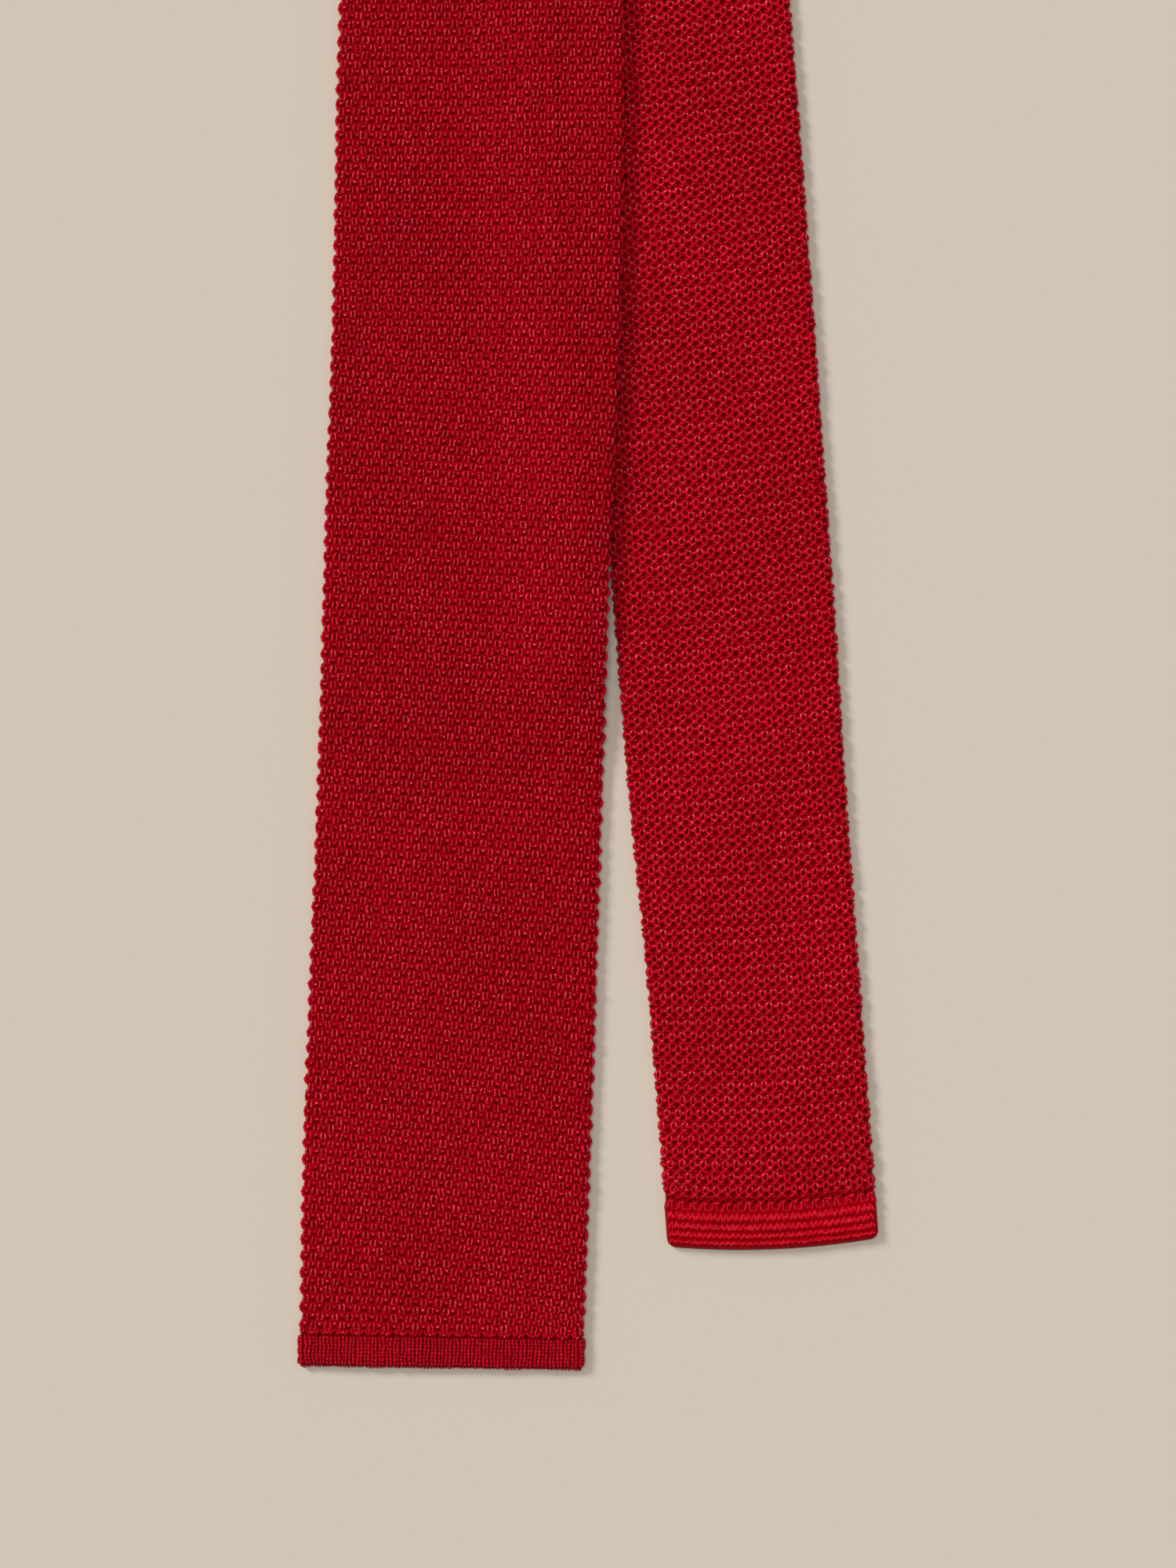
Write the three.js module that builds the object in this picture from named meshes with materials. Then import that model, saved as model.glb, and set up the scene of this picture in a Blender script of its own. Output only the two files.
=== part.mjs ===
// Square-ended knit tie, laid flat and folded once at the neck.
// Millimetres. +Y runs from the tips to the neck, +X from the wide blade to the narrow blade, +Z up.
import * as THREE from 'three';

// The tie as it lies
const LAID_LENGTH = 742; // from the wide tip to the outside of the neck fold
const TAIL_STEP = 24.8; // the narrow tip stops this far short of the wide tip
const TIP_SPREAD = 69.6; // between the middles of the two tips
const NECK_SHIFT = 17; // the fold's middle lies this far to the right of the wide tip's middle

// Widths of the flattened tube
const BLADE_WIDTH = 60;
const TAIL_WIDTH = 44.4;
const NECK_WIDTH = 36;

// The knitted wall
const PLY = 1.3; // one wall of the tube
const SLIT = 0.4; // free space between the upper and lower wall
const CROWN = 0.25; // how much the upper face stands up in the middle

// Where pieces end, and the room between them
const WIDE_HEM = 6.9;
const NARROW_HEM = 9.9;
const NECK_REACH = 190; // the neck band's reach down each arm, from the fold
const PIECE_GAP = 0.3; // between pieces that follow each other along the tube
const REST_GAP = 0.3; // between the wide arm and the narrow arm under it
const WIDE_CORNER = 1.2; // rounding of the wide hem's two corners, seen from above
const NARROW_CORNER = 1.8; // rounding of the narrow hem's two corners, seen from above
const LIP = 0.32; // a hem's thickness at its closed end, as a share of the tube's

// The neck fold and the climb of the wide arm on to the narrow arm
const FOLD_RADIUS = 1.5; // inside the fold
const FOLD_EASE = 60; // over this length the arms part towards the fold
const DRAPE_RUN = 22; // over this width the wide arm climbs on to the narrow arm
const DRAPE_LEAD = 1.5; // the climb is over this far before the narrow arm's edge
const DRAPE_END = 4; // over this width it comes down again where the arms have parted
const DRAPE_PARTING = 4; // the arms have parted where this much room is between them
const BOW_HOLD = 12; // up to this far above a tip, the cross-sections are bowed as the tip is
const BOW_FADE = 48; // over this further height they come straight

// at: share of the arm's length, from its tip to the fold
// shift: sideways from the straight line between tip and fold, as a share of the arm's width
// swell: more or less width, as a share of it
// taper: from 0, the arm's own width, to 1, the neck's width
const WIDE_ARM_ROWS = [
  { at: 0.0, shift: 0.0, swell: -0.01, taper: 0.0 },
  { at: 0.06, shift: 0.004, swell: 0.008, taper: 0.0 },
  { at: 0.17, shift: 0.021, swell: 0.0, taper: 0.0 },
  { at: 0.25, shift: 0.03, swell: 0.006, taper: 0.0 },
  { at: 0.3, shift: 0.041, swell: 0.012, taper: 0.0 },
  { at: 0.39, shift: 0.031, swell: -0.008, taper: 0.0 },
  { at: 0.55, shift: 0.014, swell: 0.0, taper: 0.4 },
  { at: 0.72, shift: 0.004, swell: 0.0, taper: 0.96 },
  { at: 1.0, shift: 0.0, swell: 0.0, taper: 1.0 },
];
const NARROW_ARM_ROWS = [
  { at: 0.0, shift: 0.003, swell: 0.0, taper: 0.0 },
  { at: 0.09, shift: 0.002, swell: 0.008, taper: 0.0 },
  { at: 0.135, shift: -0.007, swell: 0.03, taper: 0.0 },
  { at: 0.19, shift: -0.005, swell: 0.045, taper: 0.0 },
  { at: 0.37, shift: -0.006, swell: 0.045, taper: 0.0 },
  { at: 0.55, shift: 0.0, swell: 0.02, taper: 0.4 },
  { at: 0.72, shift: 0.0, swell: 0.0, taper: 0.92 },
  { at: 1.0, shift: 0.0, swell: 0.0, taper: 1.0 },
];

// How finely the surfaces are divided
const FACE_STEPS = 11; // across the upper face, and across the lower one
const SIDE_STEPS = 5; // round each side fold
const ARM_STEP = 21; // along an arm
const FOLD_STEPS = 10; // round the neck fold
const HEM_STEPS = 5; // along a hem
const HEM_CROWDING = 2; // 1 spaces a hem's rings evenly, more crowds them at its closed end
const HEADING_REACH = 4; // an arm's direction is read over this far to either side

const HALF_THICK = PLY + SLIT / 2;
const FOLD_BEND = FOLD_RADIUS + HALF_THICK; // of the tube's middle, round the fold
const FOLD_START = LAID_LENGTH - FOLD_BEND - HALF_THICK;
const STACK_RISE = 2 * HALF_THICK + CROWN + REST_GAP;
const UP = new THREE.Vector3(0, 0, 1);

const WIDE_ARM = {
  tip: new THREE.Vector2(0, 0),
  width: BLADE_WIDTH,
  tipSlope: 0.012,
  tipBow: 0,
  rows: WIDE_ARM_ROWS,
  onTop: true,
};
const NARROW_ARM = {
  tip: new THREE.Vector2(TIP_SPREAD, TAIL_STEP),
  width: TAIL_WIDTH,
  tipSlope: -0.033,
  tipBow: 0.065,
  rows: NARROW_ARM_ROWS,
  onTop: false,
};

// A smooth curve through one column of a table
function readColumn(rows, column, at) {
  const share = THREE.MathUtils.clamp(at, 0, 1);
  const last = rows.length - 1;
  let low = 0;
  while (low < last - 1 && rows[low + 1].at < share) {
    low += 1;
  }
  const slopeAt = (index) => {
    const before = rows[Math.max(index - 1, 0)];
    const after = rows[Math.min(index + 1, last)];
    return (after[column] - before[column]) / (after.at - before.at);
  };
  const span = rows[low + 1].at - rows[low].at;
  const part = (share - rows[low].at) / span;
  const rest = 1 - part;
  const leave = rows[low][column] * (1 + 2 * part) + slopeAt(low) * span * part;
  const arrive = rows[low + 1][column] * (3 - 2 * part) - slopeAt(low + 1) * span * rest;
  return leave * rest * rest + arrive * part * part;
}

// The middle of an arm, seen from above, at a height y of the laid tie
function armMiddle(arm, y) {
  const at = (y - arm.tip.y) / (FOLD_START - arm.tip.y);
  const straight = THREE.MathUtils.lerp(arm.tip.x, NECK_SHIFT, at);
  return straight + readColumn(arm.rows, 'shift', at) * arm.width;
}

function armWidth(arm, y) {
  const at = (y - arm.tip.y) / (FOLD_START - arm.tip.y);
  const plain = THREE.MathUtils.lerp(arm.width, NECK_WIDTH, readColumn(arm.rows, 'taper', at));
  return plain * (1 + readColumn(arm.rows, 'swell', at));
}

// The arm's direction towards the neck, seen from above
function armHeading(arm, y) {
  const high = Math.min(y + HEADING_REACH, FOLD_START);
  const low = high - 2 * HEADING_REACH;
  return new THREE.Vector3(armMiddle(arm, high) - armMiddle(arm, low), high - low, 0).normalize();
}

// How far the wide arm is lifted at a point, by the narrow arm under it and by the neck fold
function drapeLift(x, y) {
  const tailEdge = armMiddle(NARROW_ARM, y) - armWidth(NARROW_ARM, y) / 2;
  const climbEnd = tailEdge - DRAPE_LEAD;
  const room = tailEdge - armMiddle(WIDE_ARM, y) - armWidth(WIDE_ARM, y) / 2;
  const parted = THREE.MathUtils.smoothstep(room, -DRAPE_PARTING / 2, DRAPE_PARTING);
  const run = THREE.MathUtils.lerp(DRAPE_RUN, DRAPE_END, parted);
  const climb = THREE.MathUtils.smoothstep(x, climbEnd - run, climbEnd);
  const nearFold = THREE.MathUtils.smoothstep(y, FOLD_START - FOLD_EASE, FOLD_START);
  return THREE.MathUtils.lerp(STACK_RISE * climb, 2 * FOLD_BEND, nearFold);
}

// How far the edge of a tip, and what is near it, stands up at a distance across from the arm's middle
function tipLift(arm, y, across) {
  const above = y - arm.tip.y;
  const fade = 1 - THREE.MathUtils.smoothstep(above, BOW_HOLD, BOW_HOLD + BOW_FADE);
  return fade * (arm.tipSlope * across + (arm.tipBow * across * across) / (arm.width / 2));
}

// One place along an arm: middle, directions and size of the flattened tube
function armPlace(arm, y) {
  const heading = armHeading(arm, y);
  const across = new THREE.Vector3().crossVectors(heading, UP).normalize();
  const fade = 1 - THREE.MathUtils.smoothstep(y, FOLD_START - FOLD_EASE, FOLD_START);
  return {
    middle: new THREE.Vector3(armMiddle(arm, y), y, HALF_THICK),
    across,
    outward: arm.onTop ? UP.clone() : UP.clone().negate(),
    halfWidth: armWidth(arm, y) / 2,
    halfThick: HALF_THICK,
    outerCrown: arm.onTop ? CROWN * fade : 0,
    innerCrown: arm.onTop ? 0 : CROWN * fade,
    lift: arm.onTop ? drapeLift : () => 0,
    bow: (x) => tipLift(arm, y, x),
  };
}

// One place round the neck fold, from the wide arm at turn 0 to the narrow arm at turn 1
function foldPlace(turn) {
  const wide = armPlace(WIDE_ARM, FOLD_START);
  const narrow = armPlace(NARROW_ARM, FOLD_START);
  const across = wide.across.clone().lerp(narrow.across, turn).normalize();
  const ahead = new THREE.Vector3().crossVectors(UP, across);
  const angle = turn * Math.PI;
  const outward = ahead.clone().multiplyScalar(Math.sin(angle)).addScaledVector(UP, Math.cos(angle));
  const centre = new THREE.Vector3(NECK_SHIFT, FOLD_START, HALF_THICK + FOLD_BEND);
  return {
    middle: centre.addScaledVector(outward, FOLD_BEND),
    across,
    outward,
    halfWidth: NECK_WIDTH / 2,
    halfThick: HALF_THICK,
    outerCrown: 0,
    innerCrown: 0,
    lift: () => 0,
    bow: () => 0,
  };
}

// The outline of a flattened tube in its own plane: level faces and round side folds
function tubeOutline(halfWidth, halfThick, outerCrown, innerCrown) {
  const flat = halfWidth - halfThick;
  const points = [];
  for (let i = 0; i < FACE_STEPS; i += 1) {
    const share = -1 + (2 * i) / FACE_STEPS;
    points.push(new THREE.Vector2(share * flat, -halfThick - innerCrown * (1 - share * share)));
  }
  for (let i = 0; i < SIDE_STEPS; i += 1) {
    const angle = -Math.PI / 2 + (Math.PI * i) / SIDE_STEPS;
    points.push(new THREE.Vector2(flat + halfThick * Math.cos(angle), halfThick * Math.sin(angle)));
  }
  for (let i = 0; i < FACE_STEPS; i += 1) {
    const share = 1 - (2 * i) / FACE_STEPS;
    points.push(new THREE.Vector2(share * flat, halfThick + outerCrown * (1 - share * share)));
  }
  for (let i = 0; i < SIDE_STEPS; i += 1) {
    const angle = Math.PI / 2 + (Math.PI * i) / SIDE_STEPS;
    points.push(new THREE.Vector2(-flat + halfThick * Math.cos(angle), halfThick * Math.sin(angle)));
  }
  return points;
}

// Sets an outline up at its place in the laid tie
function placeOutline(outline, place) {
  return outline.map((point) => {
    const at = place.middle.clone();
    at.addScaledVector(place.across, point.x);
    at.addScaledVector(place.outward, point.y);
    at.y += place.bow(point.x);
    at.z += place.lift(at.x, at.y);
    return at;
  });
}

// The outside of the tube at a place
function outerRing(place) {
  const outline = tubeOutline(place.halfWidth, place.halfThick, place.outerCrown, place.innerCrown);
  return placeOutline(outline, place);
}

// The slit between the two walls at a place
function innerRing(place) {
  const outline = tubeOutline(place.halfWidth - PLY, SLIT / 2, place.outerCrown, place.innerCrown);
  return placeOutline(outline, place);
}

// Joins rings of equal length into one closed skin: the outer rings run one way, the inner ones back
function closedSkin(outerRings, innerRings, closedEnd) {
  const rings = [...outerRings, ...innerRings.slice().reverse()];
  const ringSize = rings[0].length;
  const positions = rings.flat().flatMap((point) => [point.x, point.y, point.z]);
  const faces = [];
  const joinRings = (from, to) => {
    for (let i = 0; i < ringSize; i += 1) {
      const next = (i + 1) % ringSize;
      faces.push(from * ringSize + i, from * ringSize + next, to * ringSize + next);
      faces.push(from * ringSize + i, to * ringSize + next, to * ringSize + i);
    }
  };
  for (let ring = 0; ring < rings.length - 1; ring += 1) {
    joinRings(ring, ring + 1);
  }
  if (closedEnd) {
    capRing(rings[0], 0, true, positions, faces);
    capRing(rings[rings.length - 1], rings.length - 1, false, positions, faces);
  } else {
    joinRings(rings.length - 1, 0);
  }
  if (enclosedVolume(positions, faces) < 0) {
    faces.reverse();
  }
  const geometry = new THREE.BufferGeometry();
  geometry.setAttribute('position', new THREE.Float32BufferAttribute(positions, 3));
  geometry.setIndex(faces);
  geometry.computeVertexNormals();
  return geometry;
}

// The volume inside a closed skin, negative where its faces point inwards
function enclosedVolume(positions, faces) {
  const corner = (index) => new THREE.Vector3().fromArray(positions, faces[index] * 3);
  let volume = 0;
  for (let i = 0; i < faces.length; i += 3) {
    volume += corner(i).dot(corner(i + 1).cross(corner(i + 2))) / 6;
  }
  return volume;
}

// Closes a ring with a fan of faces about its middle
function capRing(ring, ringIndex, atStart, positions, faces) {
  const middle = ring.reduce((sum, point) => sum.add(point), new THREE.Vector3()).divideScalar(ring.length);
  const hub = positions.length / 3;
  positions.push(middle.x, middle.y, middle.z);
  for (let i = 0; i < ring.length; i += 1) {
    const here = ringIndex * ring.length + i;
    const next = ringIndex * ring.length + ((i + 1) % ring.length);
    faces.push(...(atStart ? [hub, next, here] : [hub, here, next]));
  }
}

// Places along an arm, from one height to another, evenly spaced
function armPlaces(arm, fromY, toY) {
  const steps = Math.max(2, Math.round(Math.abs(toY - fromY) / ARM_STEP));
  const places = [];
  for (let i = 0; i <= steps; i += 1) {
    places.push(armPlace(arm, THREE.MathUtils.lerp(fromY, toY, i / steps)));
  }
  return places;
}

function tubeGeometry(places) {
  return closedSkin(places.map(outerRing), places.map(innerRing), false);
}

// The blade between its hem and the neck band, open at both ends
function bladeGeometry(arm, hem) {
  return tubeGeometry(armPlaces(arm, arm.tip.y + hem + PIECE_GAP, FOLD_START - NECK_REACH - PIECE_GAP));
}

// Down one arm, round the fold and down the other, open at both ends
function neckGeometry() {
  const fold = [];
  for (let i = 1; i < FOLD_STEPS; i += 1) {
    fold.push(foldPlace(i / FOLD_STEPS));
  }
  return tubeGeometry([
    ...armPlaces(WIDE_ARM, FOLD_START - NECK_REACH, FOLD_START),
    ...fold,
    ...armPlaces(NARROW_ARM, FOLD_START, FOLD_START - NECK_REACH),
  ]);
}

// A hem: the tube's walls roll together at the tip and stay open towards the blade
function hemGeometry(arm, length, corner) {
  const roll = HALF_THICK; // the rounded end reaches this far in
  const outerRings = [];
  const innerRings = [];
  for (let i = 0; i <= HEM_STEPS; i += 1) {
    const along = length * (i / HEM_STEPS) ** HEM_CROWDING;
    const place = armPlace(arm, arm.tip.y + along);
    const cornerLeft = Math.max(corner - along, 0);
    const rollLeft = Math.max(roll - along, 0);
    place.halfWidth -= corner - Math.sqrt(corner * corner - cornerLeft * cornerLeft);
    const thinning = Math.sqrt(1 - (1 - LIP * LIP) * (rollLeft / roll) ** 2);
    place.middle.z -= HALF_THICK * (1 - thinning);
    place.halfThick *= thinning;
    place.outerCrown *= thinning;
    place.innerCrown *= thinning;
    outerRings.push(outerRing(place));
    if (along > roll) {
      innerRings.push(innerRing(place));
    }
  }
  return closedSkin(outerRings, innerRings, true);
}

function knitMaterial(colour, roughness) {
  return new THREE.MeshStandardMaterial({ color: colour, roughness, metalness: 0 });
}

function addPiece(group, name, geometry, material) {
  const mesh = new THREE.Mesh(geometry, material);
  mesh.name = name;
  group.add(mesh);
}

function buildTie() {
  const tie = new THREE.Group();
  const body = knitMaterial(0x8f0513, 0.55);
  const hem = knitMaterial(0x9a0719, 0.6);
  addPiece(tie, 'wide_blade', bladeGeometry(WIDE_ARM, WIDE_HEM), body);
  addPiece(tie, 'narrow_blade', bladeGeometry(NARROW_ARM, NARROW_HEM), body);
  addPiece(tie, 'neck_band', neckGeometry(), body);
  addPiece(tie, 'wide_hem', hemGeometry(WIDE_ARM, WIDE_HEM, WIDE_CORNER), hem);
  addPiece(tie, 'narrow_hem', hemGeometry(NARROW_ARM, NARROW_HEM, NARROW_CORNER), hem);
  const box = new THREE.Box3().setFromObject(tie);
  const middle = box.getCenter(new THREE.Vector3());
  tie.position.set(-middle.x, -middle.y, -box.min.z);
  return tie;
}

export default buildTie();
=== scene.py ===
"""Square-ended knit tie, laid flat and folded at the neck: its knitted surface, floor, light and camera.

Lengths are in millimetres until a mesh is made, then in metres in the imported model's frame. +Y runs from the
tips to the neck, +X from the wide blade to the narrow blade and +Z up.
"""

from __future__ import annotations

import logging
import math
from abc import ABC, abstractmethod
from dataclasses import dataclass, field
from enum import Enum

import bpy
import numpy as np
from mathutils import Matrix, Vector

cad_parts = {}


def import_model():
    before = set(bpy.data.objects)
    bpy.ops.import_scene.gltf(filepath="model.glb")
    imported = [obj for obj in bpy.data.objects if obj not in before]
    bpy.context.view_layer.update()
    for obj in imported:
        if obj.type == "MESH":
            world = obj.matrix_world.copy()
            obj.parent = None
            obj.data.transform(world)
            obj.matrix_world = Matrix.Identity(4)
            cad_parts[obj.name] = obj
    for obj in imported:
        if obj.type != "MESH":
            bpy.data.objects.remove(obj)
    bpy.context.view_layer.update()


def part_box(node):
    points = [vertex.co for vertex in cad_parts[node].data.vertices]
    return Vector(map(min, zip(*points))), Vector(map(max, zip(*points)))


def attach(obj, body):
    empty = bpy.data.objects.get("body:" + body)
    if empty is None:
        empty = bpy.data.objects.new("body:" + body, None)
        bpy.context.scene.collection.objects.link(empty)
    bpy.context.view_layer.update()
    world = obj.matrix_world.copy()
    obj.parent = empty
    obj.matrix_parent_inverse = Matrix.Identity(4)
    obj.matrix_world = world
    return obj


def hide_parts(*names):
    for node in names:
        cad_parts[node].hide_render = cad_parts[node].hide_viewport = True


LOG = logging.getLogger("knit_tie")
MM = 0.001
BODY = "root"
SEED = 7
ROUND_COLUMNS = 39  # ring columns round the whole tube
COLUMN_PHASE = 0.25  # puts one ring column on each side fold
SIDE_COLUMN = ROUND_COLUMNS / 4  # how many ring columns the side folds lie from the middle
POCKET_RISE = 0.34  # how far the pockets lie above and below a ring's middle, in rows
CLOUD_SHADE = (0.35, 0.82)  # how much a broad random noise brightens a colour, and the darkest share it leaves
SQUARE = ((-1, -1), (1, -1), (1, 1), (-1, 1))  # the floor's corners, taken round
Colour = tuple[float, float, float, float]


class Detail(Enum):
    """How finely a stitch is modelled."""

    FULL = "full"
    PLAIN = "plain"


def srgb(red: int, green: int, blue: int) -> Colour:
    """Turn a colour of 0 to 255 steps into linear values.

    Args:
        red: Red step.
        green: Green step.
        blue: Blue step.

    Returns:
        Linear red, green, blue and an alpha of 1.
    """
    linear = []
    for step in (red, green, blue):
        share = step / 255
        linear.append(share / 12.92 if share <= 0.04045 else ((share + 0.055) / 1.055) ** 2.4)
    return (*linear, 1.0)


def ease(value: np.ndarray, low: float, high: float) -> np.ndarray:
    """Climb smoothly from 0 at low to 1 at high."""
    part = np.clip((value - low) / (high - low), 0.0, 1.0)
    return part * part * (3 - 2 * part)


@dataclass(frozen=True)
class ArmRow:
    """One row of an arm's outline table, in shares of the arm's length and width."""

    at: float
    shift: float
    swell: float
    taper: float


@dataclass(frozen=True)
class CourseRow:
    """How the courses lie at one distance from the tip: their slope in the middle and their bow."""

    at: float
    slope: float
    bow: float


@dataclass(frozen=True)
class Arm:
    """One arm of the laid tie, from its tip to the neck fold."""

    tip_x: float
    tip_y: float
    width: float
    hem: float
    corner: float
    tip_slope: float
    tip_bow: float
    cell_area: float
    edge_knobs: int
    on_top: bool
    rows: tuple[ArmRow, ...]
    courses: tuple[CourseRow, ...]


WIDE_ROWS = (
    ArmRow(0.0, 0.0, -0.01, 0.0),
    ArmRow(0.06, 0.004, 0.008, 0.0),
    ArmRow(0.17, 0.021, 0.0, 0.0),
    ArmRow(0.25, 0.03, 0.006, 0.0),
    ArmRow(0.3, 0.041, 0.012, 0.0),
    ArmRow(0.39, 0.031, -0.008, 0.0),
    ArmRow(0.55, 0.014, 0.0, 0.4),
    ArmRow(0.72, 0.004, 0.0, 0.96),
    ArmRow(1.0, 0.0, 0.0, 1.0),
)
NARROW_ROWS = (
    ArmRow(0.0, 0.003, 0.0, 0.0),
    ArmRow(0.09, 0.002, 0.008, 0.0),
    ArmRow(0.135, -0.007, 0.03, 0.0),
    ArmRow(0.19, -0.005, 0.045, 0.0),
    ArmRow(0.37, -0.006, 0.045, 0.0),
    ArmRow(0.55, 0.0, 0.02, 0.4),
    ArmRow(0.72, 0.0, 0.0, 0.92),
    ArmRow(1.0, 0.0, 0.0, 1.0),
)
WIDE_COURSES = (
    CourseRow(7.5, 0.012, 0.0),
    CourseRow(15.0, -0.03, -0.01),
    CourseRow(30.0, -0.044, -0.015),
    CourseRow(75.0, -0.046, -0.015),
    CourseRow(92.0, -0.022, -0.008),
    CourseRow(155.0, -0.012, -0.004),
    CourseRow(205.0, -0.003, 0.0),
    CourseRow(222.0, 0.01, 0.0),
    CourseRow(287.0, 0.017, 0.0),
    CourseRow(400.0, 0.008, 0.0),
    CourseRow(700.0, 0.0, 0.0),
)
NARROW_COURSES = (
    CourseRow(11.0, -0.033, 0.065),
    CourseRow(22.0, -0.02, 0.045),
    CourseRow(45.0, -0.012, 0.03),
    CourseRow(80.0, -0.012, 0.03),
    CourseRow(102.0, 0.03, 0.022),
    CourseRow(140.0, 0.04, 0.02),
    CourseRow(262.0, 0.04, 0.02),
    CourseRow(600.0, 0.0, 0.0),
)
WIDE_ARM = Arm(
    tip_x=0.0, tip_y=0.0, width=60.0, hem=6.9, corner=1.2, tip_slope=0.012, tip_bow=0.0,
    cell_area=10.4, edge_knobs=1, on_top=True, rows=WIDE_ROWS, courses=WIDE_COURSES,
)
NARROW_ARM = Arm(
    tip_x=69.6, tip_y=24.8, width=44.4, hem=9.9, corner=1.8, tip_slope=-0.033, tip_bow=0.065,
    cell_area=12.6, edge_knobs=2, on_top=False, rows=NARROW_ROWS, courses=NARROW_COURSES,
)


@dataclass
class LaidTie:
    """The tie's outline and cross-section as it lies, worked out as the solid model works them out."""

    laid_length: float = 742.0
    neck_shift: float = 17.0
    neck_width: float = 36.0
    half_thick: float = 1.5
    crown: float = 0.25
    rest_gap: float = 0.3
    fold_radius: float = 1.5
    fold_ease: float = 60.0
    drape_run: float = 22.0
    drape_lead: float = 1.5
    drape_parting: tuple[float, float] = (0.5, 5.5)
    neck_reach: float = 190.0
    yarn_relief: float = 0.75
    end_round: float = 1.3
    bow_hold: float = 12.0
    bow_fade: float = 48.0
    heading_span: float = 8.0
    hem_edge: tuple[float, float] = (-0.8, 0.2)
    hem_thinning: float = 0.1
    wide: Arm = WIDE_ARM
    narrow: Arm = NARROW_ARM
    neck_cell_area: float = 12.6
    origin: np.ndarray = field(default_factory=lambda: np.zeros(3))

    def __post_init__(self) -> None:
        """Work out the fold's sizes and the cloth's own thickness under its yarn relief."""
        self.fold_bend = self.fold_radius + self.half_thick
        self.fold_start = self.laid_length - self.fold_bend - self.half_thick
        self.stack_rise = 2 * self.half_thick + self.crown + self.rest_gap
        self.cloth_half = self.half_thick - self.yarn_relief / 2
        self.fold_run = math.pi * (self.fold_bend + self.cloth_half)

    def settle(self) -> None:
        """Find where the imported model's origin lies, from the wide hem's box."""
        low, high = (np.array(corner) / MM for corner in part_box("wide_hem"))
        y = np.linspace(0, self.wide.hem, 20)
        heading = self.heading(self.wide, y)
        half = self.width(self.wide, y) / 2
        corner = np.clip(self.wide.corner - y, 0, self.wide.corner)
        half = half - self.wide.corner + np.sqrt(self.wide.corner**2 - corner**2)
        left = (self.middle(self.wide, y) - half * heading[:, 1]).min()
        right = (self.middle(self.wide, y) + half * heading[:, 1]).max()
        ends = [y - s * half * heading[:, 0] + self.tip_lift(self.wide, y, s * half) for s in (-1, 1)]
        lowest = min(end.min() for end in ends)
        self.origin = np.array([(left + right - low[0] - high[0]) / 2, lowest - low[1], 0.0])
        LOG.info("origin %s", self.origin.round(3))
        LOG.info("hem %.2f wide, %.2f worked out", high[0] - low[0], right - left)

    @staticmethod
    def column(rows: tuple[ArmRow, ...], name: str, at: np.ndarray) -> np.ndarray:
        """Read a smooth curve through one column of an outline table.

        Args:
            rows: The table.
            name: The column.
            at: Shares of the arm's length.

        Returns:
            The column's values there.
        """
        places = np.array([row.at for row in rows])
        values = np.array([getattr(row, name) for row in rows])
        last = len(rows) - 1
        before = np.maximum(np.arange(last + 1) - 1, 0)
        after = np.minimum(np.arange(last + 1) + 1, last)
        slopes = (values[after] - values[before]) / (places[after] - places[before])
        share = np.clip(at, 0, 1)
        low = np.clip(np.searchsorted(places, share) - 1, 0, last - 1)
        span = places[low + 1] - places[low]
        part = (share - places[low]) / span
        rest = 1 - part
        leave = values[low] * (1 + 2 * part) + slopes[low] * span * part
        arrive = values[low + 1] * (3 - 2 * part) - slopes[low + 1] * span * rest
        return leave * rest * rest + arrive * part * part

    def share(self, arm: Arm, y: np.ndarray) -> np.ndarray:
        """Give how far up an arm a height is, as a share of the arm's length."""
        return (y - arm.tip_y) / (self.fold_start - arm.tip_y)

    def middle(self, arm: Arm, y: np.ndarray) -> np.ndarray:
        """Give where an arm's middle line lies, seen from above.

        Args:
            arm: The arm.
            y: Heights up the tie.

        Returns:
            The line's x at each height.
        """
        at = self.share(arm, y)
        straight = arm.tip_x + (self.neck_shift - arm.tip_x) * at
        return straight + self.column(arm.rows, "shift", at) * arm.width

    def width(self, arm: Arm, y: np.ndarray) -> np.ndarray:
        """Give an arm's width.

        Args:
            arm: The arm.
            y: Heights up the tie.

        Returns:
            The width at each height.
        """
        at = self.share(arm, y)
        plain = arm.width + (self.neck_width - arm.width) * self.column(arm.rows, "taper", at)
        return plain * (1 + self.column(arm.rows, "swell", at))

    def heading(self, arm: Arm, y: np.ndarray) -> np.ndarray:
        """Give an arm's direction towards the neck, seen from above.

        Args:
            arm: The arm.
            y: Heights up the tie.

        Returns:
            A unit vector across and up for each height.
        """
        high = np.minimum(y + self.heading_span / 2, self.fold_start)
        low = high - self.heading_span
        run = np.stack([self.middle(arm, high) - self.middle(arm, low), high - low], axis=-1)
        return run / np.linalg.norm(run, axis=-1, keepdims=True)

    def lift(self, x: np.ndarray, y: np.ndarray) -> np.ndarray:
        """Give how far the wide arm is lifted by the narrow arm under it and by the neck fold.

        Args:
            x: Places across the tie.
            y: Heights up the tie.

        Returns:
            The lift at each place.
        """
        tail_edge = self.middle(self.narrow, y) - self.width(self.narrow, y) / 2
        room = tail_edge - self.middle(self.wide, y) - self.width(self.wide, y) / 2
        parted = 1 - ease(room, *self.drape_parting)
        climb = ease(x - tail_edge + self.drape_lead, -self.drape_run, 0.0) * parted
        near_fold = ease(y, self.fold_start - self.fold_ease, self.fold_start)
        return self.stack_rise * climb * (1 - near_fold) + 2 * self.fold_bend * near_fold

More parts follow.
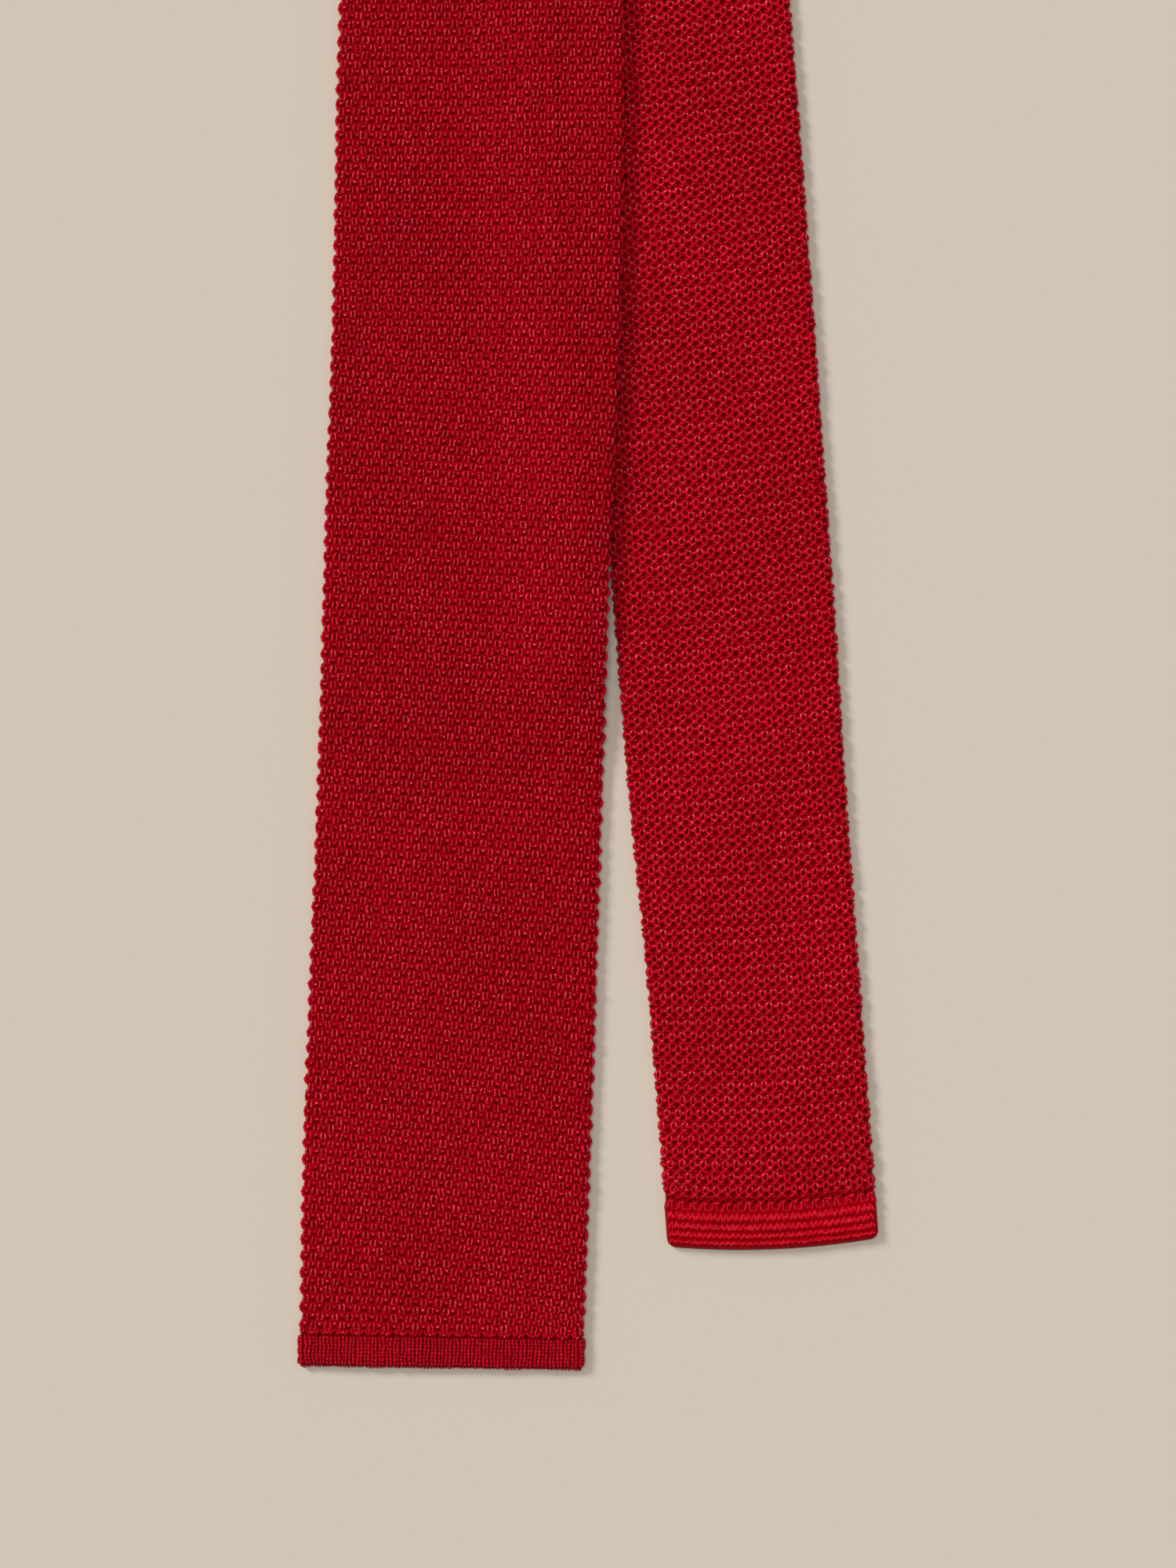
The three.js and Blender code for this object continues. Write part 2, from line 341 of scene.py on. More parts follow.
    def outline(self, half: np.ndarray, thick: np.ndarray, q: np.ndarray) -> tuple[np.ndarray, ...]:
        """Walk round a flattened tube's outline from the middle of its upper face.

        Args:
            half: Half of the width.
            thick: Half of the thickness.
            q: Distance walked, positive to the right.

        Returns:
            Across and up coordinates, and the outward normal's across and up parts.
        """
        flat = half - thick
        walked = np.abs(q)
        turn = np.clip((walked - flat) / thick, 0.0, math.pi)
        below = np.clip(walked - flat - math.pi * thick, 0.0, None)
        x = np.minimum(walked, flat) + thick * np.sin(turn) - below
        z = thick * np.cos(turn)
        side = np.where(q < 0, -1.0, 1.0)
        return x * side, z, np.sin(turn) * side, np.cos(turn)

    def tip_lift(self, arm: Arm, y: np.ndarray, across: np.ndarray) -> np.ndarray:
        """Give how far the edge of a tip, and what is near it, is raised by its slope and its bow.

        Args:
            arm: The arm.
            y: Heights up the tie.
            across: Distances from the arm's middle line.

        Returns:
            The rise along the tie at each place.
        """
        above = y - arm.tip_y
        fade = 1 - ease(above, self.bow_hold, self.bow_hold + self.bow_fade)
        return fade * (arm.tip_slope * across + arm.tip_bow * across * across / (arm.width / 2))

    def section(self, arm: Arm, y: np.ndarray) -> tuple[np.ndarray, np.ndarray]:
        """Work out the cloth's cross-section, thinner at the hem and rounded at the tip.

        Args:
            arm: The arm.
            y: Heights up the tie.

        Returns:
            Half of the width and half of the thickness at each height.
        """
        above = y - arm.tip_y
        hem_low, hem_high = self.hem_edge
        hem = 1 - ease(above, arm.hem + hem_low, arm.hem + hem_high)
        end = np.sqrt(np.clip(1 - np.clip(1 - above / self.end_round, 0, 1) ** 2, 0.01, 1))
        corner = np.clip(arm.corner - above, 0, arm.corner)
        cut = arm.corner - np.sqrt(arm.corner**2 - corner**2)
        half = self.width(arm, y) / 2 - self.yarn_relief / 2 * (1 - hem) - cut
        return half, self.cloth_half * end * (1 - self.hem_thinning * hem)

    def girth(self, arm: Arm, y: np.ndarray) -> np.ndarray:
        """Give the way round the cloth at a height."""
        half, thick = self.section(arm, y)
        return 4 * (half - thick) + 2 * math.pi * thick

    def surface(self, arm: Arm, y: np.ndarray, q: np.ndarray, height: np.ndarray) -> np.ndarray:
        """Place points on an arm's cloth, and past its end on the neck fold's outer face.

        Args:
            arm: The arm.
            y: Heights of the cross-sections.
            q: Distances walked round the cloth from the middle of the upper face.
            height: Distances above the cloth.

        Returns:
            Points in millimetres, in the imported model's frame.
        """
        half, thick = self.section(arm, y)
        x, z, nx, nz = self.outline(half, thick, q)
        fade = 1 - ease(y, self.fold_start - self.fold_ease, self.fold_start)
        flat = half - thick
        crown = self.crown * fade * np.clip(1 - (x / flat) ** 2, 0, 1) * (nz > 0)
        heading = self.heading(arm, y)
        out_x = x + nx * height
        points = np.empty((*out_x.shape, 3))
        points[..., 0] = self.middle(arm, y) + heading[..., 1] * out_x
        points[..., 1] = y - heading[..., 0] * out_x + self.tip_lift(arm, y, x)
        points[..., 2] = thick + z + nz * height + crown
        if arm.on_top:
            points[..., 2] += self.lift(points[..., 0], points[..., 1])
            turn = np.clip((y - self.fold_start) / self.fold_run, 0, 1)
            past = (turn > 0) & np.ones_like(q, bool)
            folded = self.round_fold(turn, q, height)
            points[past] = folded[past]
        return points - self.origin

    def round_fold(self, turn: np.ndarray, q: np.ndarray, height: np.ndarray) -> np.ndarray:
        """Place points round the neck fold.

        Args:
            turn: How far round the fold, from 0 at the wide arm to 1 at the narrow arm.
            q: Distances walked round the cloth from the middle of the upper face.
            height: Distances above the cloth.

        Returns:
            Points in millimetres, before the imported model's origin is taken off.
        """
        wide = self.heading(self.wide, np.array([self.fold_start]))[0]
        narrow = self.heading(self.narrow, np.array([self.fold_start]))[0]
        ahead = wide * (1 - turn[..., None]) + narrow * turn[..., None]
        ahead /= np.linalg.norm(ahead, axis=-1, keepdims=True)
        half = np.full_like(turn, self.neck_width / 2 - self.yarn_relief / 2)
        x, n, nx, nn = self.outline(half, np.full_like(turn, self.cloth_half), q)
        out_x = x + nx * height
        angle = turn * math.pi
        reach = self.fold_bend - self.yarn_relief / 2 * np.cos(angle) + n + nn * height
        points = np.empty((*out_x.shape, 3))
        points[..., 0] = self.neck_shift + ahead[..., 1] * out_x + ahead[..., 0] * np.sin(angle) * reach
        points[..., 1] = self.fold_start - ahead[..., 0] * out_x + ahead[..., 1] * np.sin(angle) * reach
        points[..., 2] = self.half_thick + self.fold_bend + np.cos(angle) * reach
        return points

    def covered(self, x: np.ndarray, y: np.ndarray, margin: float = 3.0) -> np.ndarray:
        """Tell where the wide arm lies over a place.

        Args:
            x: Places across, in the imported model's frame.
            y: Heights up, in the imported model's frame.
            margin: How far inside the wide arm's edge a place counts as covered.

        Returns:
            True for each covered place.
        """
        level = y + self.origin[1]
        edge = self.middle(self.wide, level) + self.width(self.wide, level) / 2
        return x + self.origin[0] < edge - margin


@dataclass
class CourseMap:
    """The lattice of ring stitches on an arm: rows along it and columns round it."""

    tie: LaidTie
    arm: Arm
    below_tip: float = 4.0
    past_fold: float = 20.0
    step: float = 0.5

    def __post_init__(self) -> None:
        """Add up the rows from the hem to the fold."""
        low = self.arm.tip_y - self.below_tip
        self.heights = np.arange(low, self.tie.fold_start + self.past_fold, self.step)
        pitch = self.column_pitch(self.heights)
        taper = self.tie.column(self.arm.rows, "taper", self.tie.share(self.arm, self.heights))
        area = self.arm.cell_area + (self.tie.neck_cell_area - self.arm.cell_area) * taper
        self.row_pitch = area / pitch
        rows = np.cumsum(self.step / self.row_pitch)
        hem_row = np.interp(self.arm.tip_y + self.arm.hem, self.heights, rows)
        self.rows = rows - hem_row

    def column_pitch(self, y: np.ndarray) -> np.ndarray:
        """Give the distance between ring columns."""
        return self.tie.girth(self.arm, y) / ROUND_COLUMNS

    def course_shift(self, y: np.ndarray, x: np.ndarray) -> np.ndarray:
        """Give how far a course has risen at a distance across, more than the cross-section has.

        Args:
            y: Heights up the arm.
            x: Distances from the arm's middle line.

        Returns:
            The rise along the arm at each place.
        """
        along = y - self.arm.tip_y
        places = [row.at for row in self.arm.courses]
        slope = np.interp(along, places, [row.slope for row in self.arm.courses])
        bow = np.interp(along, places, [row.bow for row in self.arm.courses])
        return slope * x + bow * x * x / (self.arm.width / 2) - self.tie.tip_lift(self.arm, y, x)

    def across(self, y: np.ndarray, q: np.ndarray) -> np.ndarray:
        """Give how far across a place round the tube lies, seen from above.

        Args:
            y: Heights up the arm.
            q: Distances walked round the cloth from the middle of the upper face.

        Returns:
            Distances from the arm's middle line.
        """
        girth = self.tie.girth(self.arm, y)
        q = (q + girth / 2) % girth - girth / 2
        half, thick = self.tie.section(self.arm, y)
        return self.tie.outline(half, thick, q)[0]

    def place(self, column: np.ndarray, row: np.ndarray) -> tuple[np.ndarray, np.ndarray]:
        """Find a lattice point.

        Args:
            column: Columns round the tube, 0 at the middle of the upper face.
            row: Rows up from the hem.

        Returns:
            Its height up the arm, and its distance round the tube.
        """
        level = np.interp(row, self.rows, self.heights)
        q = (column - COLUMN_PHASE) * self.column_pitch(level)
        y = level + self.course_shift(level, self.across(level, q))
        return y, (column - COLUMN_PHASE) * self.column_pitch(y)

    def lattice(self, y: np.ndarray, q: np.ndarray) -> tuple[np.ndarray, np.ndarray]:
        """Find the column and row of a place on the cloth."""
        level = y - self.course_shift(y, self.across(y, q))
        return q / self.column_pitch(y) + COLUMN_PHASE, np.interp(level, self.heights, self.rows)

    def row_size(self, y: np.ndarray) -> np.ndarray:
        """Give the distance between rows of one column."""
        return np.interp(y, self.heights, self.row_pitch)


class Nodes:
    """A short way to add and join nodes in one tree."""

    def __init__(self, tree: bpy.types.NodeTree) -> None:
        """Keep the tree."""
        self.tree = tree

    def add(
        self, kind: str, inputs: dict[str | int, object] | None = None, **settings: object
    ) -> bpy.types.Node:
        """Add a node.

        Args:
            kind: The node's type.
            inputs: Values or output sockets for its inputs, by name or number.
            **settings: Properties of the node.

        Returns:
            The node.
        """
        node = self.tree.nodes.new(kind)
        for name, value in settings.items():
            setattr(node, name, value)
        for key, value in (inputs or {}).items():
            socket = node.inputs[key] if isinstance(key, int) else self.open_input(node, key)
            if isinstance(value, bpy.types.NodeSocket):
                self.tree.links.new(value, socket)
            else:
                socket.default_value = value
        return node

    @staticmethod
    def open_input(node: bpy.types.Node, name: str) -> bpy.types.NodeSocket:
        """Find the enabled input of a name."""
        return next(socket for socket in node.inputs if socket.name == name and socket.enabled)

    def math(self, operation: str, *values: object) -> bpy.types.NodeSocket:
        """Add a math node and give its result."""
        return self.add("ShaderNodeMath", dict(enumerate(values)), operation=operation).outputs[0]

    def mix(self, factor: object, first: object, second: object) -> bpy.types.NodeSocket:
        """Mix two colours and give the result."""
        node = self.add("ShaderNodeMix", {0: factor, 6: first, 7: second}, data_type="RGBA")
        return node.outputs[2]

    def ramp(
        self, value: object, low: float, high: float, start: object = 0.0, end: object = 1.0
    ) -> bpy.types.NodeSocket:
        """Map a value smoothly from low and high to start and end."""
        inputs = {"Value": value, "From Min": low, "From Max": high, "To Min": start, "To Max": end}
        return self.add("ShaderNodeMapRange", inputs, interpolation_type="SMOOTHSTEP").outputs[0]

    def scale(self, vector: object, factor: object) -> bpy.types.NodeSocket:
        """Scale a vector or a colour and give the result."""
        return self.add("ShaderNodeVectorMath", {0: vector, "Scale": factor}, operation="SCALE").outputs[0]

    def surface(self, inputs: dict[str, object]) -> None:
        """Add the surface shader and join it to the material's output."""
        shader = self.add("ShaderNodeBsdfPrincipled", inputs)
        self.add("ShaderNodeOutputMaterial", {"Surface": shader.outputs[0]})


def new_material(name: str) -> tuple[bpy.types.Material, Nodes]:
    """Make an empty material.

    Args:
        name: The material's name.

    Returns:
        The material, and the means to add its nodes.
    """
    made = bpy.data.materials.new(name)
    made.use_nodes = True
    made.node_tree.nodes.clear()
    return made, Nodes(made.node_tree)


def new_group(
    name: str, kind: str, inputs: tuple[tuple[str, str, object], ...], outputs: tuple[tuple[str, str], ...]
) -> tuple[bpy.types.NodeTree, Nodes]:
    """Make a node group with named inputs and outputs.

    Args:
        name: The group's name.
        kind: Shader or Geometry.
        inputs: Name, kind and starting value of each input, None where it starts empty.
        outputs: Name and kind of each output.

    Returns:
        The group, and the means to add its nodes.
    """
    tree = bpy.data.node_groups.new(name, f"{kind}NodeTree")
    for label, socket, value in inputs:
        made = tree.interface.new_socket(label, in_out="INPUT", socket_type=f"NodeSocket{socket}")
        if value is not None:
            made.default_value = value
    for label, socket in outputs:
        tree.interface.new_socket(label, in_out="OUTPUT", socket_type=f"NodeSocket{socket}")
    return tree, Nodes(tree)


def link_object(name: str, data: bpy.types.ID) -> bpy.types.Object:
    """Make an object and put it in the scene.

    Args:
        name: The object's name.
        data: Its mesh, lamp or camera.

    Returns:
        The object.
    """
    made = bpy.data.objects.new(name, data)
    bpy.context.scene.collection.objects.link(made)
    return made


def ring_pattern_group() -> bpy.types.NodeTree:
    """Build the shader group that draws the ring stitch's lattice.

    Returns:
        A group that turns lattice coordinates into masks of the holes, the pockets and the raised yarn.
    """
    inputs = (
        ("Lattice", "Vector", None),
        ("Ring Width", "Float", 0.25),
        ("Ring Height", "Float", 0.2),
        ("Pocket Width", "Float", 0.2),
        ("Pocket Height", "Float", 0.1),
        ("Lower Pocket", "Float", 0.9),
    )
    masks = (("Hole", "Float"), ("Pocket", "Float"), ("Yarn", "Float"))
    tree, n = new_group("ring stitch lattice", "Shader", inputs, masks)
    given = n.add("NodeGroupInput").outputs
    parts = n.add("ShaderNodeSeparateXYZ", {0: given["Lattice"]}).outputs
    doubled = n.math("MULTIPLY", parts[0], 2.0)
    column = n.math("FLOOR", n.math("ADD", doubled, 0.5))
    x = n.math("MULTIPLY", n.math("SUBTRACT", doubled, column), 0.5)
    staggered = n.math("MULTIPLY_ADD", column, 0.5, parts[1])
    y = n.math("SUBTRACT", n.math("FRACT", n.math("ADD", staggered, 0.5)), 0.5)

    def squared(offset: object, reach: object) -> bpy.types.NodeSocket:
        """Give the square of an offset's share of a reach."""
        return n.math("POWER", n.math("ABSOLUTE", n.math("DIVIDE", offset, reach)), 2.0)

    def spot(centre: float, name: str) -> bpy.types.NodeSocket:
        """Give the distance from a spot in the cell, 1 on its edge.

        Args:
            centre: How far the spot lies above the ring's middle, in rows.
            name: Whose width and height the spot has, Ring or Pocket.

        Returns:
            The distance's socket.
        """
        over_x = squared(x, given[f"{name} Width"])
        over_y = squared(n.math("SUBTRACT", y, centre), given[f"{name} Height"])
        return n.math("SQRT", n.math("ADD", over_x, over_y))

    ring = spot(0.0, "Ring")
    hole = n.ramp(ring, 0.25, 0.8, 1.0, 0.0)
    above = n.ramp(spot(POCKET_RISE, "Pocket"), 0.45, 1.15, 1.0, 0.0)
    below = n.ramp(spot(-POCKET_RISE, "Pocket"), 0.45, 1.15, given["Lower Pocket"], 0.0)
    bridge = n.ramp(n.math("ABSOLUTE", n.math("SUBTRACT", n.math("ABSOLUTE", y), 0.5)), 0.02, 0.12, 0.6, 0.0)
    band = n.ramp(n.math("ABSOLUTE", n.math("SUBTRACT", ring, 1.0)), 0.1, 0.5, 1.0, 0.0)
    yarn = n.math("MAXIMUM", band, bridge)
    pocket_shade = n.math("MAXIMUM", above, below)
    n.add("NodeGroupOutput", {"Hole": hole, "Pocket": pocket_shade, "Yarn": yarn})
    return tree


def fibre_group() -> bpy.types.NodeTree:
    """Build the shader group of spun silk: a fine twist along the yarn and a broad random unevenness.

    Returns:
        A group that puts out the twist's height, a soft unevenness and single bright specks, from 0 to 1.
    """
    inputs = (("Along", "Vector", None), ("Place", "Vector", None), ("Twists", "Float", 1.0))
    masks = (("Twist", "Float"), ("Cloud", "Float"), ("Speck", "Float"))
    tree, n = new_group("spun silk fibre", "Shader", inputs, masks)
    given = n.add("NodeGroupInput").outputs

    def noise(scale: float, detail: float) -> bpy.types.NodeSocket:
        """Give a noise that lies fixed on the piece, with so many lumps to the metre."""
        settings = {"Vector": given["Place"], "Scale": scale, "Detail": detail}
        return n.add("ShaderNodeTexNoise", settings).outputs[0]

    parts = n.add("ShaderNodeSeparateXYZ", {0: given["Along"]}).outputs
    phase = n.math("ADD", n.math("MULTIPLY", parts[0], given["Twists"]), parts[1])
    wave = n.math("SINE", n.math("MULTIPLY", phase, 2 * math.pi))
    twist = n.math("MULTIPLY_ADD", wave, 0.35, n.math("MULTIPLY_ADD", noise(2600.0, 2.0), 0.6, 0.2))
    speck = n.ramp(noise(2100.0, 1.0), 0.42, 0.6)
    n.add("NodeGroupOutput", {"Twist": twist, "Cloud": noise(32.0, 3.0), "Speck": speck})
    return tree


def silk_nodes(
    n: Nodes, fibre: bpy.types.NodeTree, twists: float = 1.0
) -> tuple[bpy.types.NodeSocket, bpy.types.bpy_prop_collection]:
    """Add the spun silk group to a material.

    Args:
        n: The material's nodes.
        fibre: The spun silk group.
        twists: How many turns the yarn's twist takes to one unit of the UV map.

    Returns:
        The piece's own UV map, and the group's outputs.
    """
    uv = n.add("ShaderNodeUVMap", uv_map="UVMap").outputs[0]
    place = n.add("ShaderNodeTexCoord").outputs["Object"]
    inputs = {"Along": uv, "Place": place, "Twists": twists}
    return uv, n.add("ShaderNodeGroup", inputs, node_tree=fibre).outputs


@dataclass(frozen=True)
class YarnFinish:
    """The silk yarn of the raised stitches, with painted shade on its flanks and a painted highlight on its
    tops.
    """

    name: str
    # Colours: painted shade for the strands' flanks, the yarn's own colour, and a painted highlight for their
    # tops.
    deep_shade: Colour = srgb(154, 0, 11)
    body: Colour = srgb(203, 2, 29)
    crest: Colour = srgb(255, 112, 138)
    gloss: Colour = srgb(255, 96, 120)
    roughness: float = 0.45
    twist_depth: float = 0.00004
    twists: float = 9.0

    def material(self, fibre: bpy.types.NodeTree) -> bpy.types.Material:
        """Build the material.

        Args:
            fibre: The spun silk group.

        Returns:
            The material.
        """
        made, n = new_material(self.name)
        _, silk = silk_nodes(n, fibre, self.twists)
        tone = n.add("ShaderNodeAttribute", attribute_name="tone").outputs["Fac"]
        crest = n.add("ShaderNodeAttribute", attribute_name="crest").outputs["Fac"]
        # Painted light: the stored weight mixes painted shade, the yarn's colour and a painted highlight,
        # broken up by random specks and each stitch's random tone.
        lit = n.ramp(crest, 0.35, 1.0)
        low = n.mix(n.ramp(crest, 0.0, 0.45), self.deep_shade, self.body)
        catch = n.math("MULTIPLY", tone, n.math("MULTIPLY_ADD", silk["Speck"], 0.9, 0.1))
        high = n.mix(n.math("MULTIPLY", lit, catch), low, self.crest)
        shade = n.math("MULTIPLY_ADD", silk["Cloud"], *CLOUD_SHADE)
        speckled = n.math("MULTIPLY", shade, n.math("MULTIPLY_ADD", silk["Speck"], 0.3, 0.84))
        bump = n.add("ShaderNodeBump", {"Height": silk["Twist"], "Distance": self.twist_depth})
        n.surface({
            "Base Color": n.scale(high, speckled),
            "Roughness": n.math("MULTIPLY_ADD", silk["Twist"], 0.2, self.roughness - 0.1),
            "Normal": bump.outputs[0],
            "Specular Tint": self.gloss,
            "Specular IOR Level": 0.5,
        })
        return made


@dataclass(frozen=True)
class ClothFinish:
    """The knitted ground under the raised stitches, and the faces that carry none, with painted shade in its
    gaps and a painted highlight on its raised yarn.
    """

    name: str
    # Painted shade laid in the knit's holes and pockets.
    pocket_shade: Colour = srgb(106, 0, 5)
    # The darker end of the random speck mix, also painted shade off the raised yarn.
    deep_shade: Colour = srgb(130, 0, 9)
    # The ground's colour, set darker than the yarn's as painted shade in the gaps between stitches.
    body: Colour = srgb(166, 1, 19)
    # Painted highlight on the raised yarn.
    crest: Colour = srgb(178, 2, 25)
    # How strongly the holes take the painted shade.
    hole_shade: float = 1.0
    gloss: Colour = srgb(255, 60, 80)
    relief: float = 0.0003
    ring_width: float = 0.154
    ring_height: float = 0.24
    pocket_width: float = 0.135
    pocket_height: float = 0.095
    lower_pocket: float = 0.3

    def material(self, rings: bpy.types.NodeTree, fibre: bpy.types.NodeTree) -> bpy.types.Material:
        """Build the material.

        Args:
            rings: The ring stitch lattice group.
            fibre: The spun silk group.

        Returns:
            The material.
        """
        made, n = new_material(self.name)
        uv, silk = silk_nodes(n, fibre)
        sizes = {
            "Lattice": uv,
            "Ring Width": self.ring_width,
            "Ring Height": self.ring_height,
            "Pocket Width": self.pocket_width,
            "Pocket Height": self.pocket_height,
            "Lower Pocket": self.lower_pocket,
        }
        lattice = n.add("ShaderNodeGroup", sizes, node_tree=rings).outputs
        # Painted light on the ground: lighter on the raised yarn's mask and darker off it, mixed with random
        # specks.
        raised = n.math("MULTIPLY_ADD", silk["Speck"], 0.7, n.math("MULTIPLY", lattice["Yarn"], 0.3))
        yarn = n.mix(raised, self.deep_shade, self.body)
        lit = n.mix(n.ramp(lattice["Yarn"], 0.6, 1.0, 0.0, 0.7), yarn, self.crest)
        # Painted shade: the holes and pockets are painted dark, and sunk in the bump.
        hole = n.math("MULTIPLY", lattice["Hole"], self.hole_shade)
        painted_shade = n.math("MAXIMUM", hole, lattice["Pocket"])
        colour = n.mix(painted_shade, lit, self.pocket_shade)
        height = n.math("SUBTRACT", lattice["Yarn"], painted_shade)
        full = n.math("MULTIPLY_ADD", silk["Twist"], 0.15, height)
        n.surface({
            "Base Color": n.scale(colour, n.math("MULTIPLY_ADD", silk["Cloud"], *CLOUD_SHADE)),
            "Roughness": n.math("MULTIPLY_ADD", silk["Twist"], 0.15, 0.55),
            "Normal": n.add("ShaderNodeBump", {"Height": full, "Distance": self.relief}).outputs[0],
            "Specular Tint": self.gloss,
            "Specular IOR Level": 0.2,
        })
        return made


@dataclass
class Mesh:
    """A mesh as it is put together: points, faces, and what is known at each corner and point."""

    points: list[np.ndarray] = field(default_factory=list)
    faces: list[tuple[int, ...]] = field(default_factory=list)
    corners: list[tuple[float, float]] = field(default_factory=list)
    # Each point's weight of painted highlight, higher on the strand's upper side; low weights give painted
    # shade.
    crest: list[float] = field(default_factory=list)

    def tube(self, path: np.ndarray, radii: np.ndarray, light: np.ndarray, sides: int, closed: bool) -> None:
        """Add a strand of yarn along a path.

        Args:
            path: Its middle line.
            radii: Its radius at each point of the path.
            light: How far each point of the path stands in the light, from 0 to 1.
            sides: Faces round the strand.
            closed: Whether the last point joins the first.
        """
        count = len(path)
        after = np.roll(path, -1, axis=0)
        before = np.roll(path, 1, axis=0)
        if not closed:
            after[-1] = path[-1]
            before[0] = path[0]
        along = after - before
        along /= np.linalg.norm(along, axis=1, keepdims=True)
        sideways = np.cross(along, (0.0, 0.0, 1.0))
        sideways /= np.linalg.norm(sideways, axis=1, keepdims=True)
        up = np.cross(sideways, along)
        first = len(self.points)
        for i in range(count):
            for k in range(sides):
                angle = math.pi / 2 + (2 * k - 1) * math.pi / sides
                out = sideways[i] * math.cos(angle) + up[i] * math.sin(angle)
                self.points.append(path[i] + out * radii[i])
                # Painted light: points facing up get more painted highlight, points on the sides and
                # underneath get painted shade.
                self.crest.append(float(light[i] * (0.3 + 0.7 * max(0.0, math.sin(angle)))))
        walked = np.concatenate([[0.0], np.cumsum(np.linalg.norm(np.diff(path, axis=0), axis=1))])
        lap = walked[-1] + float(np.linalg.norm(path[0] - path[-1]))
        for i in range(count if closed else count - 1):
            j = (i + 1) % count
            end = walked[j] if j else lap
            here, there = first + i * sides, first + j * sides
            for k in range(sides):
                m = (k + 1) % sides
                self.faces.append((here + k, here + m, there + m, there + k))
                low, high = k / sides, (k + 1) / sides
                self.corners += [(walked[i], low), (walked[i], high), (end, high), (end, low)]
        if not closed:
            start = [first + k for k in range(sides)]
            stop = [first + (count - 1) * sides + k for k in range(sides)]
            self.faces += [tuple(reversed(start)), tuple(stop)]
            self.corners += [(0.0, 0.0)] * (2 * sides)

    def build(self, name: str, scale: float = 1.0) -> bpy.types.Object:
        """Make the Blender object.

        Args:
            name: The object's name.
            scale: What its points are multiplied by.

        Returns:
            The object.
        """
        data = bpy.data.meshes.new(name)
        data.from_pydata([tuple(point * scale) for point in self.points], [], self.faces)
        layer = data.uv_layers.new(name="UVMap")
        layer.data.foreach_set("uv", np.array(self.corners, np.float32).ravel())
        # Keep each point's painted highlight weight for the yarn's material.
        attribute = data.attributes.new("crest", "FLOAT", "POINT")
        attribute.data.foreach_set("value", np.array(self.crest, np.float32))
        data.polygons.foreach_set("use_smooth", np.ones(len(data.polygons), bool))
        data.validate()
        return link_object(name, data)


class Form(Enum):
    """What a strand's rows give of it."""

    LOOP = "the right half of a closed loop"
    SPAN = "the right half of an open strand, from its middle"
    PAIR = "the right one of two mirrored strands"
    SINGLE = "the whole strand"


@dataclass(frozen=True)
class Strand:
    """One strand of a stitch.

    Each row holds how far the strand lies to the right, up the arm and off the cloth, its radius, and how
    far it stands in the light.
    """

    form: Form
    rows: tuple[tuple[float, float, float, float, float], ...]
    sides: int = 4

    def paths(self) -> list[np.ndarray]:
        """Work out the strands that these rows stand for.

        Returns:
            The rows of each strand, from one end to the other or round its loop.
        """
        right = np.array(self.rows)
        left = right * (-1, 1, 1, 1, 1)
        if self.form is Form.LOOP:
            return [np.concatenate([right, left[-2:0:-1]])]
        if self.form is Form.SPAN:
            return [np.concatenate([left[:0:-1], right])]
        return [right, left] if self.form is Form.PAIR else [right]


@dataclass(frozen=True)
class Stitch:
    """One stitch at its real size, in millimetres."""

    name: str
    column_pitch: float
    row_pitch: float
    strands: tuple[Strand, ...]

    def build(self) -> bpy.types.Object:
        """Build the stitch.

        Returns:
            The stitch as an object of its own, lying in the XY plane with +Z off the cloth.
        """
        mesh = Mesh()
        for strand in self.strands:
            for path in strand.paths():
                mesh.tube(path[:, :3], path[:, 3], path[:, 4], strand.sides, strand.form is Form.LOOP)
        return mesh.build(self.name, MM)


WIDE_CELL = (3.11, 3.32)  # column and row pitch of the wide blade's stitches
NARROW_CELL = (2.5, 5.2)  # column and row pitch of the narrow blade's stitches
WIDE_RING = Stitch("wide_ring", *WIDE_CELL, (
    Strand(Form.PAIR, (
        (0.34, 0.84, -0.26, 0.18, 0.0), (0.42, 0.54, 0.08, 0.25, 0.82), (0.51, 0.0, 0.17, 0.25, 0.66),
        (0.44, -0.50, 0.10, 0.25, 0.78), (0.34, -0.82, -0.26, 0.18, 0.0),
    )),
    Strand(Form.SINGLE, (
        (0.0, -1.14, -0.24, 0.24, 0.0), (0.0, -1.52, 0.18, 0.36, 1.0), (0.0, -1.86, -0.20, 0.22, 0.1),
    )),
    Strand(Form.SPAN, (
        (0.0, -1.40, -0.04, 0.26, 0.2), (0.48, -1.16, -0.04, 0.26, 0.25), (0.86, -0.8, -0.24, 0.2, 0.0),
    ), sides=3),
))
WIDE_RING_PLAIN = Stitch("wide_ring_plain", *WIDE_CELL, (
    Strand(Form.PAIR, (
        (0.34, 0.78, -0.26, 0.20, 0.0), (0.50, 0.0, 0.17, 0.30, 0.9), (0.34, -0.74, -0.26, 0.20, 0.0),
    ), sides=3),
    Strand(Form.SINGLE, (
        (0.0, -1.14, -0.24, 0.24, 0.0), (0.0, -1.52, 0.14, 0.34, 0.85), (0.0, -1.86, -0.20, 0.22, 0.1),
    ), sides=3),
))
